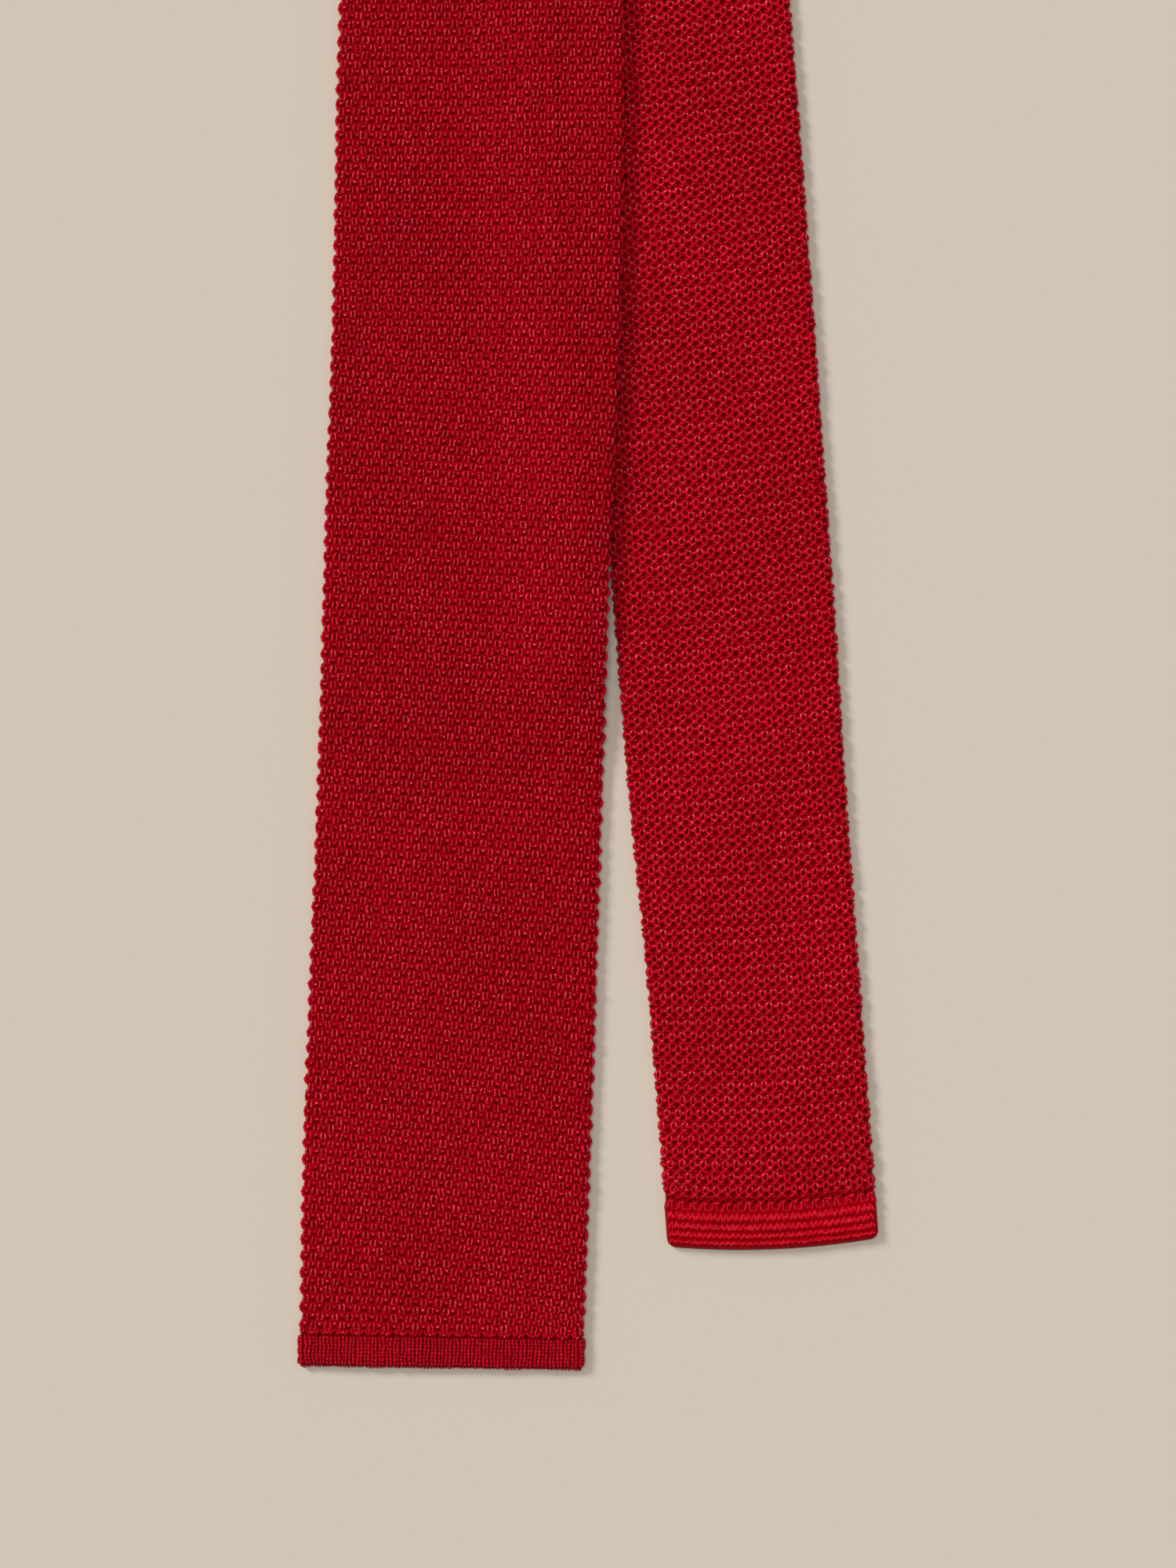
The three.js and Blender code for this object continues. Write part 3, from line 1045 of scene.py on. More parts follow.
NARROW_RING = Stitch("narrow_ring", *NARROW_CELL, (
    Strand(Form.LOOP, (
        (0.0, 0.86, 0.02, 0.30, 0.3), (0.44, 0.60, 0.10, 0.31, 0.95), (0.64, 0.0, 0.08, 0.34, 0.4),
        (0.48, -0.58, 0.10, 0.33, 0.45), (0.0, -0.88, 0.14, 0.37, 0.85),
    )),
    Strand(Form.SPAN, (
        (0.0, -2.60, 0.06, 0.42, 0.7), (0.42, -2.54, 0.02, 0.38, 0.4), (0.80, -2.46, -0.12, 0.32, 0.15),
    )),
    Strand(Form.SPAN, (
        (0.0, -1.06, 0.02, 0.34, 0.4), (0.52, -1.30, 0.02, 0.34, 0.6), (1.02, -1.68, -0.10, 0.30, 0.3),
    ), sides=3),
))
NARROW_RING_PLAIN = Stitch("narrow_ring_plain", *NARROW_CELL, (
    Strand(Form.LOOP, (
        (0.0, 0.88, 0.02, 0.32, 0.4), (0.62, 0.36, 0.08, 0.35, 0.85), (0.58, -0.40, 0.10, 0.36, 0.45),
        (0.0, -0.90, 0.12, 0.39, 0.8),
    ), sides=3),
    Strand(Form.SPAN, ((0.0, -2.60, 0.06, 0.42, 0.55), (0.72, -2.5, -0.06, 0.36, 0.2)), sides=3),
))
WIDE_STITCHES = {Detail.FULL: WIDE_RING, Detail.PLAIN: WIDE_RING_PLAIN}
NARROW_STITCHES = {Detail.FULL: NARROW_RING, Detail.PLAIN: NARROW_RING_PLAIN}
EDGE_LOOP = Stitch("edge_loop", *WIDE_CELL, (
    Strand(Form.PAIR, (
        (0.30, 1.35, -0.60, 0.24, 0.1), (0.42, 0.80, -0.02, 0.34, 0.8), (0.46, 0.0, 0.22, 0.38, 0.6),
        (0.42, -0.80, -0.02, 0.36, 0.7), (0.30, -1.35, -0.60, 0.24, 0.1),
    )),
    Strand(Form.SINGLE, (
        (0.0, 1.40, -0.75, 0.36, 0.2), (0.0, 0.0, -0.06, 0.60, 0.4), (0.0, -1.40, -0.75, 0.36, 0.2),
    ), sides=5),
))
PURL_BUMP = Stitch("purl_bump", 1.58, 0.72, (
    Strand(Form.PAIR, (
        (0.35, 0.36, -0.12, 0.27, 0.05), (0.37, 0.10, 0.12, 0.35, 0.55),
        (0.37, -0.10, 0.12, 0.35, 0.55), (0.35, -0.36, -0.12, 0.27, 0.05),
    )),
))
OPEN_LOOP = Stitch("open_loop", 1.58, 1.0, (
    Strand(Form.SPAN, (
        (0.0, -0.40, 0.16, 0.34, 0.45), (0.40, 0.16, 0.10, 0.30, 0.35), (0.60, 0.70, -0.16, 0.24, 0.1),
    )),
))
BROAD_LOOP = Stitch("broad_loop", 2.34, 1.0, (
    Strand(Form.SPAN, (
        (0.0, 0.55, -0.04, 0.26, 0.3), (0.30, 0.40, 0.12, 0.28, 0.6), (0.46, -0.30, 0.10, 0.32, 0.5),
        (0.90, -0.55, 0.02, 0.32, 0.4), (1.17, -0.35, 0.0, 0.28, 0.4),
    )),
))
JERSEY_LOOP = Stitch("jersey_loop", 1.17, 1.0, (
    Strand(Form.SPAN, (
        (0.0, 0.40, 0.06, 0.32, 0.45), (0.29, 0.0, 0.14, 0.35, 0.65), (0.585, -0.40, 0.06, 0.32, 0.35),
    )),
))


def stitch_tree() -> bpy.types.NodeTree:
    """Build the geometry tree that sets one stitch on every lattice point.

    Returns:
        The tree, with inputs for the stitch, its material, its unevenness and the seed.
    """
    inputs = (
        ("Geometry", "Geometry", None),
        ("Stitch", "Object", None),
        ("Material", "Material", None),
        ("Lean", "Float", 0.1),
        ("Dimmest", "Float", 0.3),
        ("Sway", "Float", 0.0009),
        ("Seed", "Int", SEED),
    )
    tree, n = new_group("stitches on lattice points", "Geometry", inputs, (("Geometry", "Geometry"),))
    given = n.add("NodeGroupInput").outputs

    def read(name: str) -> bpy.types.NodeSocket:
        """Read a vector that is kept on the points."""
        node = n.add("GeometryNodeInputNamedAttribute", {"Name": name}, data_type="FLOAT_VECTOR")
        return node.outputs["Attribute"]

    def draw(low: object, high: object, offset: int) -> bpy.types.NodeSocket:
        """Draw a random number for each stitch.

        Args:
            low: The least value.
            high: The greatest value.
            offset: What is added to the seed.

        Returns:
            The number's socket.
        """
        seed = n.add("FunctionNodeIntegerMath", {0: given["Seed"], 1: offset}, operation="ADD").outputs[0]
        node = n.add("FunctionNodeRandomValue", {"Min": low, "Max": high, "Seed": seed}, data_type="FLOAT")
        return next(socket for socket in node.outputs if socket.enabled)

    axes = {"Primary Axis": read("outward"), "Secondary Axis": read("across")}
    turned = n.add("FunctionNodeAxesToRotation", axes, primary_axis="Z", secondary_axis="X").outputs[0]
    stitch = n.add("GeometryNodeObjectInfo", {"Object": given["Stitch"]}).outputs["Geometry"]
    inputs = {"Points": given["Geometry"], "Instance": stitch, "Rotation": turned, "Scale": read("size")}
    set_out = n.add("GeometryNodeInstanceOnPoints", inputs).outputs[0]
    minus = n.math("MULTIPLY", given["Lean"], -1.0)
    lean = n.add("ShaderNodeCombineXYZ", {"Z": draw(minus, given["Lean"], 1)}).outputs[0]
    leaned = n.add("GeometryNodeRotateInstances", {"Instances": set_out, "Rotation": lean}).outputs[0]
    tone = {"Geometry": leaned, "Name": "tone", "Value": draw(given["Dimmest"], 1.0, 2)}
    toned = n.add("GeometryNodeStoreNamedAttribute", tone, data_type="FLOAT", domain="INSTANCE").outputs[0]
    real = n.add("GeometryNodeRealizeInstances", {"Geometry": toned}).outputs[0]
    wander = n.add("ShaderNodeTexNoise", {"Scale": 620.0, "Detail": 1.0}).outputs["Color"]
    centred = n.add("ShaderNodeVectorMath", {0: wander, 1: (0.5, 0.5, 0.5)}, operation="SUBTRACT").outputs[0]
    sway = n.scale(centred, given["Sway"])
    swayed = n.add("GeometryNodeSetPosition", {"Geometry": real, "Offset": sway}).outputs[0]
    dressed = n.add("GeometryNodeSetMaterial", {"Geometry": swayed, "Material": given["Material"]}).outputs[0]
    n.add("NodeGroupOutput", {"Geometry": dressed})
    return tree


def run_tree(
    holder: bpy.types.Object, tree: bpy.types.NodeTree, values: dict[str, object]
) -> bpy.types.Object:
    """Run a geometry tree on an object and keep the result as its plain mesh.

    Args:
        holder: The object that holds the tree's points or lines.
        tree: The geometry tree.
        values: The tree's inputs by name.

    Returns:
        The same object, with the finished mesh and no modifier.
    """
    modifier = holder.modifiers.new("geometry", "NODES")
    modifier.node_group = tree
    for item in tree.interface.items_tree:
        if item.item_type == "SOCKET" and item.in_out == "INPUT" and item.name in values:
            modifier[item.identifier] = values[item.name]
    bpy.context.view_layer.update()
    graph = bpy.context.evaluated_depsgraph_get()
    made = bpy.data.meshes.new_from_object(holder.evaluated_get(graph), depsgraph=graph)
    holder.modifiers.remove(modifier)
    for name in ("across", "outward", "size"):
        if name in made.attributes:
            made.attributes.remove(made.attributes[name])
    holder.data = made
    made.polygons.foreach_set("use_smooth", np.ones(len(made.polygons), bool))
    return holder


def points_object(name: str, points: np.ndarray, vectors: dict[str, np.ndarray]) -> bpy.types.Object:
    """Make an object of loose points that carry vectors.

    Args:
        name: The object's name.
        points: The points, in millimetres.
        vectors: Vectors to keep on the points, by name.

    Returns:
        The object.
    """
    data = bpy.data.meshes.new(name)
    data.from_pydata((points * MM).tolist(), [], [])
    for key, values in vectors.items():
        attribute = data.attributes.new(key, "FLOAT_VECTOR", "POINT")
        attribute.data.foreach_set("vector", values.astype(np.float32).ravel())
    return link_object(name, data)


@dataclass
class StitchSetter:
    """Sets stitches on the tie's cloth."""

    tie: LaidTie
    tree: bpy.types.NodeTree
    wander_up: float = 0.03
    wander_across: float = 0.035
    breadth_range: tuple[float, float] = (0.94, 1.06)
    height_range: tuple[float, float] = (0.85, 1.15)
    knob_range: tuple[float, float] = (0.85, 1.1)
    shapes: dict[str, bpy.types.Object] = field(default_factory=dict)

    def shape(self, stitch: Stitch) -> bpy.types.Object:
        """Give a stitch's object, built when it is first asked for.

        Args:
            stitch: The stitch.

        Returns:
            Its object.
        """
        if stitch.name not in self.shapes:
            self.shapes[stitch.name] = stitch.build()
        return self.shapes[stitch.name]

    def put_away(self) -> None:
        """Take the single stitches out of the scene."""
        for shape in self.shapes.values():
            bpy.data.objects.remove(shape)
        self.shapes.clear()

    def uncovered(
        self, arm: Arm, y: np.ndarray, q: np.ndarray, wanted: np.ndarray
    ) -> tuple[np.ndarray, np.ndarray]:
        """Keep the places that are wanted and that the wide arm doesn't hide.

        Args:
            arm: The arm.
            y: Heights up the arm.
            q: Distances round the cloth.
            wanted: True for each place that is wanted.

        Returns:
            Heights and distances of the kept places.
        """
        y, q = y[wanted], q[wanted]
        if arm.on_top:
            return y, q
        at = self.tie.surface(arm, y, q, np.zeros_like(y))
        seen = ~self.tie.covered(at[:, 0], at[:, 1])
        return y[seen], q[seen]

    def set_on(self, name: str, stitch: Stitch, material: bpy.types.Material, arm: Arm, y: np.ndarray,
               q: np.ndarray, size: np.ndarray) -> bpy.types.Object:
        """Set stitches on an arm.

        Args:
            name: The piece's name.
            stitch: The stitch.
            material: Its material.
            arm: The arm.
            y: Heights up the arm.
            q: Distances round the cloth.
            size: Scales across, along and outward, a row for each stitch.

        Returns:
            The finished piece.
        """
        step = 0.3
        zero = np.zeros_like(y)
        place = self.tie.surface
        points = place(arm, y, q, zero)
        across = place(arm, y, q + step, zero) - place(arm, y, q - step, zero)
        along = place(arm, y + step, q, zero) - place(arm, y - step, q, zero)
        outward = np.cross(across, along)
        outward /= np.linalg.norm(outward, axis=1, keepdims=True)
        across /= np.linalg.norm(across, axis=1, keepdims=True)
        holder = points_object(name, points, {"across": across, "outward": outward, "size": size})
        values = {"Stitch": self.shape(stitch), "Material": material, "Seed": SEED}
        piece = run_tree(holder, self.tree, values)
        LOG.info("%s: %d stitches, %d faces", name, len(y), len(piece.data.polygons))
        return piece

    def fill(self, name: str, stitch: Stitch, material: bpy.types.Material, courses: CourseMap, low: float,
             high: float) -> bpy.types.Object:
        """Fill a stretch of an arm with ring stitches, from side fold to side fold.

        Args:
            name: The piece's name.
            stitch: The stitch.
            material: Its material.
            courses: The arm's lattice.
            low: Lowest height up the arm.
            high: Highest height up the arm.

        Returns:
            The finished piece.
        """
        rows = np.interp([low, high], courses.heights, courses.rows)
        steps = np.arange(math.floor(rows[0] * 2) - 2, math.ceil(rows[1] * 2) + 3)
        columns = np.arange(-math.ceil(SIDE_COLUMN), math.ceil(SIDE_COLUMN) + 1.0)
        grid_row, grid_column = np.meshgrid(steps / 2, columns, indexing="ij")
        grid_column = grid_column + (steps % 2)[:, None] * 0.5
        y, q = courses.place(grid_column.ravel(), grid_row.ravel())
        from_middle = np.abs(grid_column.ravel() - COLUMN_PHASE)
        inside = (y >= low) & (y < high) & (from_middle < SIDE_COLUMN - 0.2)
        y, q = self.uncovered(courses.arm, y, q, inside)
        random = np.random.default_rng(SEED)
        y = y + random.normal(0, self.wander_up, len(y)) * stitch.row_pitch / 3
        q = q + random.normal(0, self.wander_across, len(q))
        row_share = courses.row_size(y) / stitch.row_pitch
        column_share = courses.column_pitch(y) / stitch.column_pitch
        breadth = np.clip(column_share * 0.7 + 0.3, 0.7, 1.2) * random.uniform(*self.breadth_range, len(y))
        size = np.stack([breadth, row_share, random.uniform(*self.height_range, len(y))], axis=1)
        return self.set_on(name, stitch, material, courses.arm, y, q, size)

    def edge(self, name: str, material: bpy.types.Material, courses: CourseMap, low: float,
             high: float) -> bpy.types.Object:
        """Set the rounded loops that stand along both side folds.

        Args:
            name: The piece's name.
            material: Its material.
            courses: The arm's lattice.
            low: Lowest height up the arm.
            high: Highest height up the arm.

        Returns:
            The finished piece.
        """
        rows = np.interp([low, high], courses.heights, courses.rows)
        knobs = courses.arm.edge_knobs
        stops = np.arange((math.floor(rows[0]) - 1) * knobs, (math.ceil(rows[1]) + 1) * knobs + 1) / knobs
        row = np.concatenate([stops, stops + 0.5])
        side = np.repeat([SIDE_COLUMN, -SIDE_COLUMN], len(stops))
        y, q = courses.place(side + COLUMN_PHASE, row)
        y, q = self.uncovered(courses.arm, y, q, (y >= low) & (y < high))
        random = np.random.default_rng(SEED + 1)
        row_share = courses.row_size(y) / EDGE_LOOP.row_pitch / knobs
        swell = random.uniform(*self.knob_range, len(y)) * np.sqrt(row_share)
        size = np.stack([swell, row_share, swell], axis=1)
        return self.set_on(name, EDGE_LOOP, material, courses.arm, y, q, size)


@dataclass
class ClothTube:
    """The hollow knitted ground of a piece: an outer skin, a slit inside and open or closed ends."""

    tie: LaidTie
    slit: float = 0.4
    ply: float = 0.9
    swell: float = 0.2
    swell_reach: float = 3.0
    swell_under: float = 0.7
    face_steps: int = 12
    fold_steps: int = 8
    slit_every: int = 6
    closed_tip: float = 1.4

    def stops(self, half: np.ndarray, thick: np.ndarray) -> np.ndarray:
        """Give the places round the outline, closer together on the side folds.

        Args:
            half: Half of the width at each cross-section.
            thick: Half of the thickness at each cross-section.

        Returns:
            Distances walked from the middle of the upper face, a row for each cross-section.
        """
        flat, bend = (half - thick)[:, None], math.pi * thick[:, None]
        face = np.linspace(-1, 1, self.face_steps, endpoint=False)[None, :] * flat
        turn = np.linspace(0, 1, self.fold_steps, endpoint=False)[None, :] * bend
        under = np.linspace(0, 1, self.face_steps // 2, endpoint=False)[None, :] * flat
        parts = [under - flat * 2 - bend, turn - flat - bend, face, flat + turn, flat + bend + under]
        return np.concatenate(parts, axis=1)

    def arm_skin(
        self, courses: CourseMap, heights: np.ndarray, turned: bool = False
    ) -> tuple[np.ndarray, np.ndarray]:
        """Work out the outer skin of an arm's stretch.

        Args:
            courses: The arm's lattice.
            heights: Heights of the cross-sections.
            turned: Whether the walk round starts on the upper face, for an arm that a fold has turned over.

        Returns:
            Rings of points, and their lattice coordinates with the first place repeated at the end.
        """
        tie, arm = self.tie, courses.arm
        half, thick = tie.section(arm, heights)
        girth = tie.girth(arm, heights)[:, None]
        stops = self.stops(half, thick)
        walked = np.concatenate([stops, stops[:, :1] + girth], axis=1)
        if turned:
            walked = -(walked + girth / 2)
        y = np.repeat(heights[:, None], walked.shape[1], axis=1)
        column, row = courses.lattice(y, walked)
        q = (walked + girth / 2) % girth - girth / 2
        flat, bend = (half - thick)[:, None], math.pi * thick[:, None]
        over = ease(np.abs(q), flat - self.swell_reach, flat)
        at_fold = over * (1 - ease(np.abs(q), flat + bend * self.swell_under, flat + bend))
        body = ease(y, arm.tip_y + arm.hem, arm.tip_y + arm.hem + 1.0)
        ripple = self.swell * np.cos(2 * math.pi * column) * np.cos(2 * math.pi * row) * body
        outer = tie.surface(arm, y, q, ripple * at_fold)
        return outer[:, :-1], np.stack([column, row], axis=-1)

    def arm_slit(self, courses: CourseMap, heights: np.ndarray) -> np.ndarray:
        """Work out the slit inside an arm's stretch.

        Args:
            courses: The arm's lattice.
            heights: Heights of the cross-sections.

        Returns:
            Rings of points.
        """
        tie, arm = self.tie, courses.arm
        half, thick = tie.section(arm, heights)
        slit = np.minimum(self.slit / 2, thick * 0.4)
        inner = half - self.ply
        q = self.stops(inner, slit)
        y = np.repeat(heights[:, None], q.shape[1], axis=1)
        x, z, _, _ = tie.outline(inner[:, None], slit[:, None], q)
        flat = (half - thick)[:, None]
        return tie.surface(arm, y, np.clip(x, -flat, flat), z - thick[:, None])

    def close(self, name: str, outer: np.ndarray, uv: np.ndarray, inner: np.ndarray, closed_end: bool,
              material: bpy.types.Material) -> bpy.types.Object:
        """Join the outer skin and the slit into one closed mesh.

        Args:
            name: The object's name.
            outer: Rings of the outer skin.
            uv: Lattice coordinates of the outer rings.
            inner: Rings of the slit.
            closed_end: Whether the first ring of each skin is closed.
            material: Its material.

        Returns:
            The object.
        """
        rings = np.concatenate([outer, inner[::-1]])
        count, size = rings.shape[:2]
        uvs = np.concatenate([uv, np.repeat(uv[-1:], len(inner), axis=0)])
        faces: list[tuple[int, ...]] = []
        corners: list[tuple[float, float]] = []
        pairs = [(i, i + 1) for i in range(count - 1)]
        if not closed_end:
            pairs.append((count - 1, 0))
        for i, j in pairs:
            for k in range(size):
                m = (k + 1) % size
                faces.append((i * size + k, i * size + m, j * size + m, j * size + k))
                corners += [tuple(uvs[i, k]), tuple(uvs[i, k + 1]), tuple(uvs[j, k + 1]), tuple(uvs[j, k])]
        if closed_end:
            for ring, order in ((0, -1), (count - 1, 1)):
                faces.append(tuple(ring * size + k for k in range(size))[::order])
                corners += [tuple(uvs[ring, k]) for k in range(size)][::order]
        data = bpy.data.meshes.new(name)
        data.from_pydata((rings.reshape(-1, 3) * MM).tolist(), [], faces)
        layer = data.uv_layers.new(name="UVMap")
        layer.data.foreach_set("uv", np.array(corners, np.float32).ravel())
        data.polygons.foreach_set("use_smooth", np.ones(len(data.polygons), bool))
        data.materials.append(material)
        self.face_outwards(data)
        return link_object(name, data)

    def arm_piece(self, name: str, courses: CourseMap, heights: np.ndarray, closed_end: bool,
                  material: bpy.types.Material) -> bpy.types.Object:
        """Build the ground of an arm's stretch.

        Args:
            name: The object's name.
            courses: The arm's lattice.
            heights: Heights of the cross-sections.
            closed_end: Whether the stretch ends in the tie's closed tip.
            material: Its material.

        Returns:
            The object.
        """
        outer, uv = self.arm_skin(courses, heights)
        sparse = heights[heights > heights[0] + self.closed_tip] if closed_end else heights
        inner = np.unique(np.append(sparse[:: self.slit_every], heights[-1]))
        return self.close(name, outer, uv, self.arm_slit(courses, inner), closed_end, material)

    @staticmethod
    def face_outwards(data: bpy.types.Mesh) -> None:
        """Turn the faces outwards where the skin encloses a negative volume.

        Args:
            data: The closed mesh.
        """
        data.calc_loop_triangles()
        points = np.zeros(len(data.vertices) * 3)
        data.vertices.foreach_get("co", points)
        triangles = np.zeros(len(data.loop_triangles) * 3, np.int32)
        data.loop_triangles.foreach_get("vertices", triangles)
        a, b, c = (points.reshape(-1, 3)[triangles.reshape(-1, 3)[:, i]] for i in range(3))
        if float((a * np.cross(b, c)).sum()) < 0:
            data.flip_normals()


def lay_heights(*stretches: tuple[float, float, float]) -> np.ndarray:
    """List heights of cross-sections.

    Args:
        *stretches: From, to and step of each stretch.

    Returns:
        The heights, with the last stretch's end.
    """
    parts = [np.arange(low, high, step) for low, high, step in stretches]
    return np.concatenate([*parts, [stretches[-1][1]]])


def declare(piece: bpy.types.Object, slot: str, *nodes: str) -> bpy.types.Object:
    """Let a piece ride on the tie and stand for the solids it dresses, which are hidden.

    Args:
        piece: The piece.
        slot: Not used.
        *nodes: The solids that it replaces.

    Returns:
        The piece.
    """
    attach(piece, BODY)
    if nodes:
        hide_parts(*nodes)
    return piece


@dataclass(frozen=True)
class Lamp:
    """One of the studio's broad lights: its share of the light, and how it leans and is turned."""

    name: str
    share: float
    breadth: float
    lean: float
    turn: float


@dataclass
class Studio:
    """The plain floor, the soft light and the camera of the photograph."""

    tie: LaidTie
    frame_height: float = 328.8
    view_x: float = 30.9
    view_y: float = 122.5
    lens: float = 100.0
    sensor: float = 36.0
    floor_reach: float = 4.0
    floor_colour: Colour = srgb(209, 197, 181)
    lamps: tuple[Lamp, ...] = (
        Lamp("key light", share=0.37, breadth=0.3, lean=0.99, turn=2.47),
        Lamp("overhead light", share=0.36, breadth=0.5, lean=0.15, turn=2.2),
    )

    def place_camera(self) -> None:
        """Hang the camera straight above the part of the tie that the photograph shows."""
        data = bpy.data.cameras.new("camera")
        data.lens = self.lens
        data.sensor_width = self.sensor
        data.sensor_fit = "AUTO"
        data.clip_end = 20.0
        camera = link_object("camera", data)
        distance = self.frame_height * self.lens / self.sensor
        middle = np.array([self.view_x, self.view_y, distance + self.tie.half_thick]) - self.tie.origin
        camera.location = middle * MM
        bpy.context.scene.camera = camera

    def lay_floor(self) -> None:
        """Lay the pale floor just under the tie."""
        data = bpy.data.meshes.new("floor")
        corners = [(x * self.floor_reach, y * self.floor_reach, 0.0) for x, y in SQUARE]
        data.from_pydata(corners, [], [(0, 1, 2, 3)])
        made, n = new_material("pale floor")
        n.surface({"Base Color": self.floor_colour, "Roughness": 0.95, "Specular IOR Level": 0.0})
        data.materials.append(made)
        floor = link_object("floor", data)

    def hang_lights(self) -> None:
        """Shine one broad light from the upper left and one from above, in an evenly lit room."""
        for lamp in self.lamps:
            data = bpy.data.lights.new(lamp.name, "SUN")
            data.angle = lamp.breadth
            data.energy = lamp.share * math.pi / math.cos(lamp.lean)
            light = link_object(lamp.name, data)
            light.rotation_euler = (0.0, lamp.lean, lamp.turn)
        world = bpy.data.worlds.new("soft room")
        world.use_nodes = True
        room = world.node_tree.nodes["Background"].inputs
        room["Color"].default_value = (1.0, 1.0, 1.0, 1.0)
        room["Strength"].default_value = 1 - sum(lamp.share for lamp in self.lamps)
        bpy.context.scene.world = world
        bpy.context.scene.view_settings.view_transform = "Standard"


@dataclass
class Knit:
    """The groups, materials, lattices and tools that the tie's pieces share."""

    tie: LaidTie

    def __post_init__(self) -> None:
        """Build the shared parts."""
        rings = ring_pattern_group()
        fibre = fibre_group()
        # The blade grounds: painted shade in the holes, pockets and gaps, and a painted highlight on the
        # raised yarn.
        self.wide_ground = ClothFinish("wide knitted ground", hole_shade=0.7).material(rings, fibre)
        self.narrow_ground = ClothFinish(
            "narrow knitted ground",
            pocket_shade=srgb(98, 0, 4), deep_shade=srgb(138, 1, 8), body=srgb(174, 1, 19), crest=srgb(184, 3, 25),
            ring_width=0.24, ring_height=0.15, pocket_width=0.185, pocket_height=0.092, lower_pocket=0.85,
        ).material(rings, fibre)
        # The hems' grounds are dark sheets of painted shade between their stitches.
        self.purl_shaded_ground = self.plain_ground("purl ground", srgb(112, 0, 6)).material(rings, fibre)
        self.jersey_shaded_ground = self.plain_ground("jersey ground", srgb(150, 1, 13)).material(rings, fibre)
        self.yarn = YarnFinish("silk yarn").material(fibre)
        # Lighter and darker copies of the one silk yarn for the two hems: painted light and painted shade.
        self.painted_lit_yarn = YarnFinish("bright silk yarn", body=srgb(214, 2, 28)).material(fibre)
        self.painted_shaded_yarn = YarnFinish("quiet silk yarn", body=srgb(181, 1, 26)).material(fibre)
        self.wide_courses = CourseMap(self.tie, self.tie.wide)
        self.narrow_courses = CourseMap(self.tie, self.tie.narrow)
        self.setter = StitchSetter(self.tie, stitch_tree())
        self.tube = ClothTube(self.tie)
        self.band_low = self.tie.fold_start - self.tie.neck_reach

    @staticmethod
    def plain_ground(name: str, shade: Colour) -> ClothFinish:
        """Give a ground of one colour, with no ring pattern, as the dark painted shade between a hem's
        stitches.
        """
        return ClothFinish(name, pocket_shade=shade, deep_shade=shade, body=shade, crest=shade, relief=0.00005)


@dataclass
class Hem(ABC):
    """The closing band at an arm's tip."""

    knit: Knit
    name: str
    courses: CourseMap
    ground: bpy.types.Material
    reach: int
    wales: int = 78
    sections: int = 16
    crowding: float = 1.7

    @abstractmethod
    def stitches(self) -> list[bpy.types.Object]:
        """Build the hem's stitches."""

    def build(self) -> list[bpy.types.Object]:
        """Build the pouch of cloth and its stitches.

        Returns:
            The hem's pieces.
        """
        knit, arm = self.knit, self.courses.arm
        heights = arm.tip_y + arm.hem * np.linspace(0, 1, self.sections) ** self.crowding
        cloth = knit.tube.arm_piece(f"{self.name}_cloth", self.courses, heights, True, self.ground)
        declare(cloth, "knit_hem", self.name)
        return [cloth, *(declare(piece, "knit_hem") for piece in self.stitches())]

    def row(self, name: str, stitch: Stitch, material: bpy.types.Material,
            courses: tuple[tuple[float, float], ...], every: int = 1) -> bpy.types.Object:
        """Set courses of one stitch over the upper face and round both side folds.

        Args:
            name: The piece's name.
            stitch: The stitch.
            material: Its material.
            courses: Each course's height above the tip and its stitches' height.
            every: How many wales one stitch takes.

        Returns:
            The piece.
        """
        arm = self.courses.arm
        heights, tall = np.array(courses).T
        wale = np.arange(-self.reach, self.reach + 1, every)
        y = np.repeat(arm.tip_y + heights, len(wale))
        pitch = self.knit.tie.girth(arm, y) / self.wales
        share = pitch * every / stitch.column_pitch
        size = np.stack([share, np.repeat(tall, len(wale)) / stitch.row_pitch, np.ones_like(y)], axis=1)
        q = np.tile(wale, len(heights)) * pitch
        return self.knit.setter.set_on(f"{self.name}_{name}", stitch, material, arm, y, q, size)


@dataclass
class PurlHem(Hem):
    """The wide blade's hem: purl courses under a row of open loops."""

    first_course: float = 0.3
    course_pitch: float = 0.72
    courses_shown: int = 9
    loop_rise: float = 0.45

    def stitches(self) -> list[bpy.types.Object]:
        """Build the purl courses and the open loops.

        Returns:
            The two pieces.
        """
        courses = tuple(
            (self.first_course + self.course_pitch * i, self.course_pitch) for i in range(self.courses_shown)
        )
        loops = ((self.courses.arm.hem + self.loop_rise, OPEN_LOOP.row_pitch),)
        return [self.row("bumps", PURL_BUMP, self.knit.painted_shaded_yarn, courses),
                self.row("loops", OPEN_LOOP, self.knit.yarn, loops)]


@dataclass
class JerseyHem(Hem):
    """The narrow blade's hem: plain jersey courses that curl under at the tip."""

    plain: tuple[tuple[float, float], ...] = ((6.8, 1.9), (4.8, 1.65), (3.0, 1.25), (1.5, 0.8))
    first: tuple[tuple[float, float], ...] = ((9.0, 1.48),)

    def stitches(self) -> list[bpy.types.Object]:
        """Build the jersey courses and the broad course above them."""
        return [self.row("courses", JERSEY_LOOP, self.knit.painted_lit_yarn, self.plain),
                self.row("first", BROAD_LOOP, self.knit.yarn, self.first, 2)]


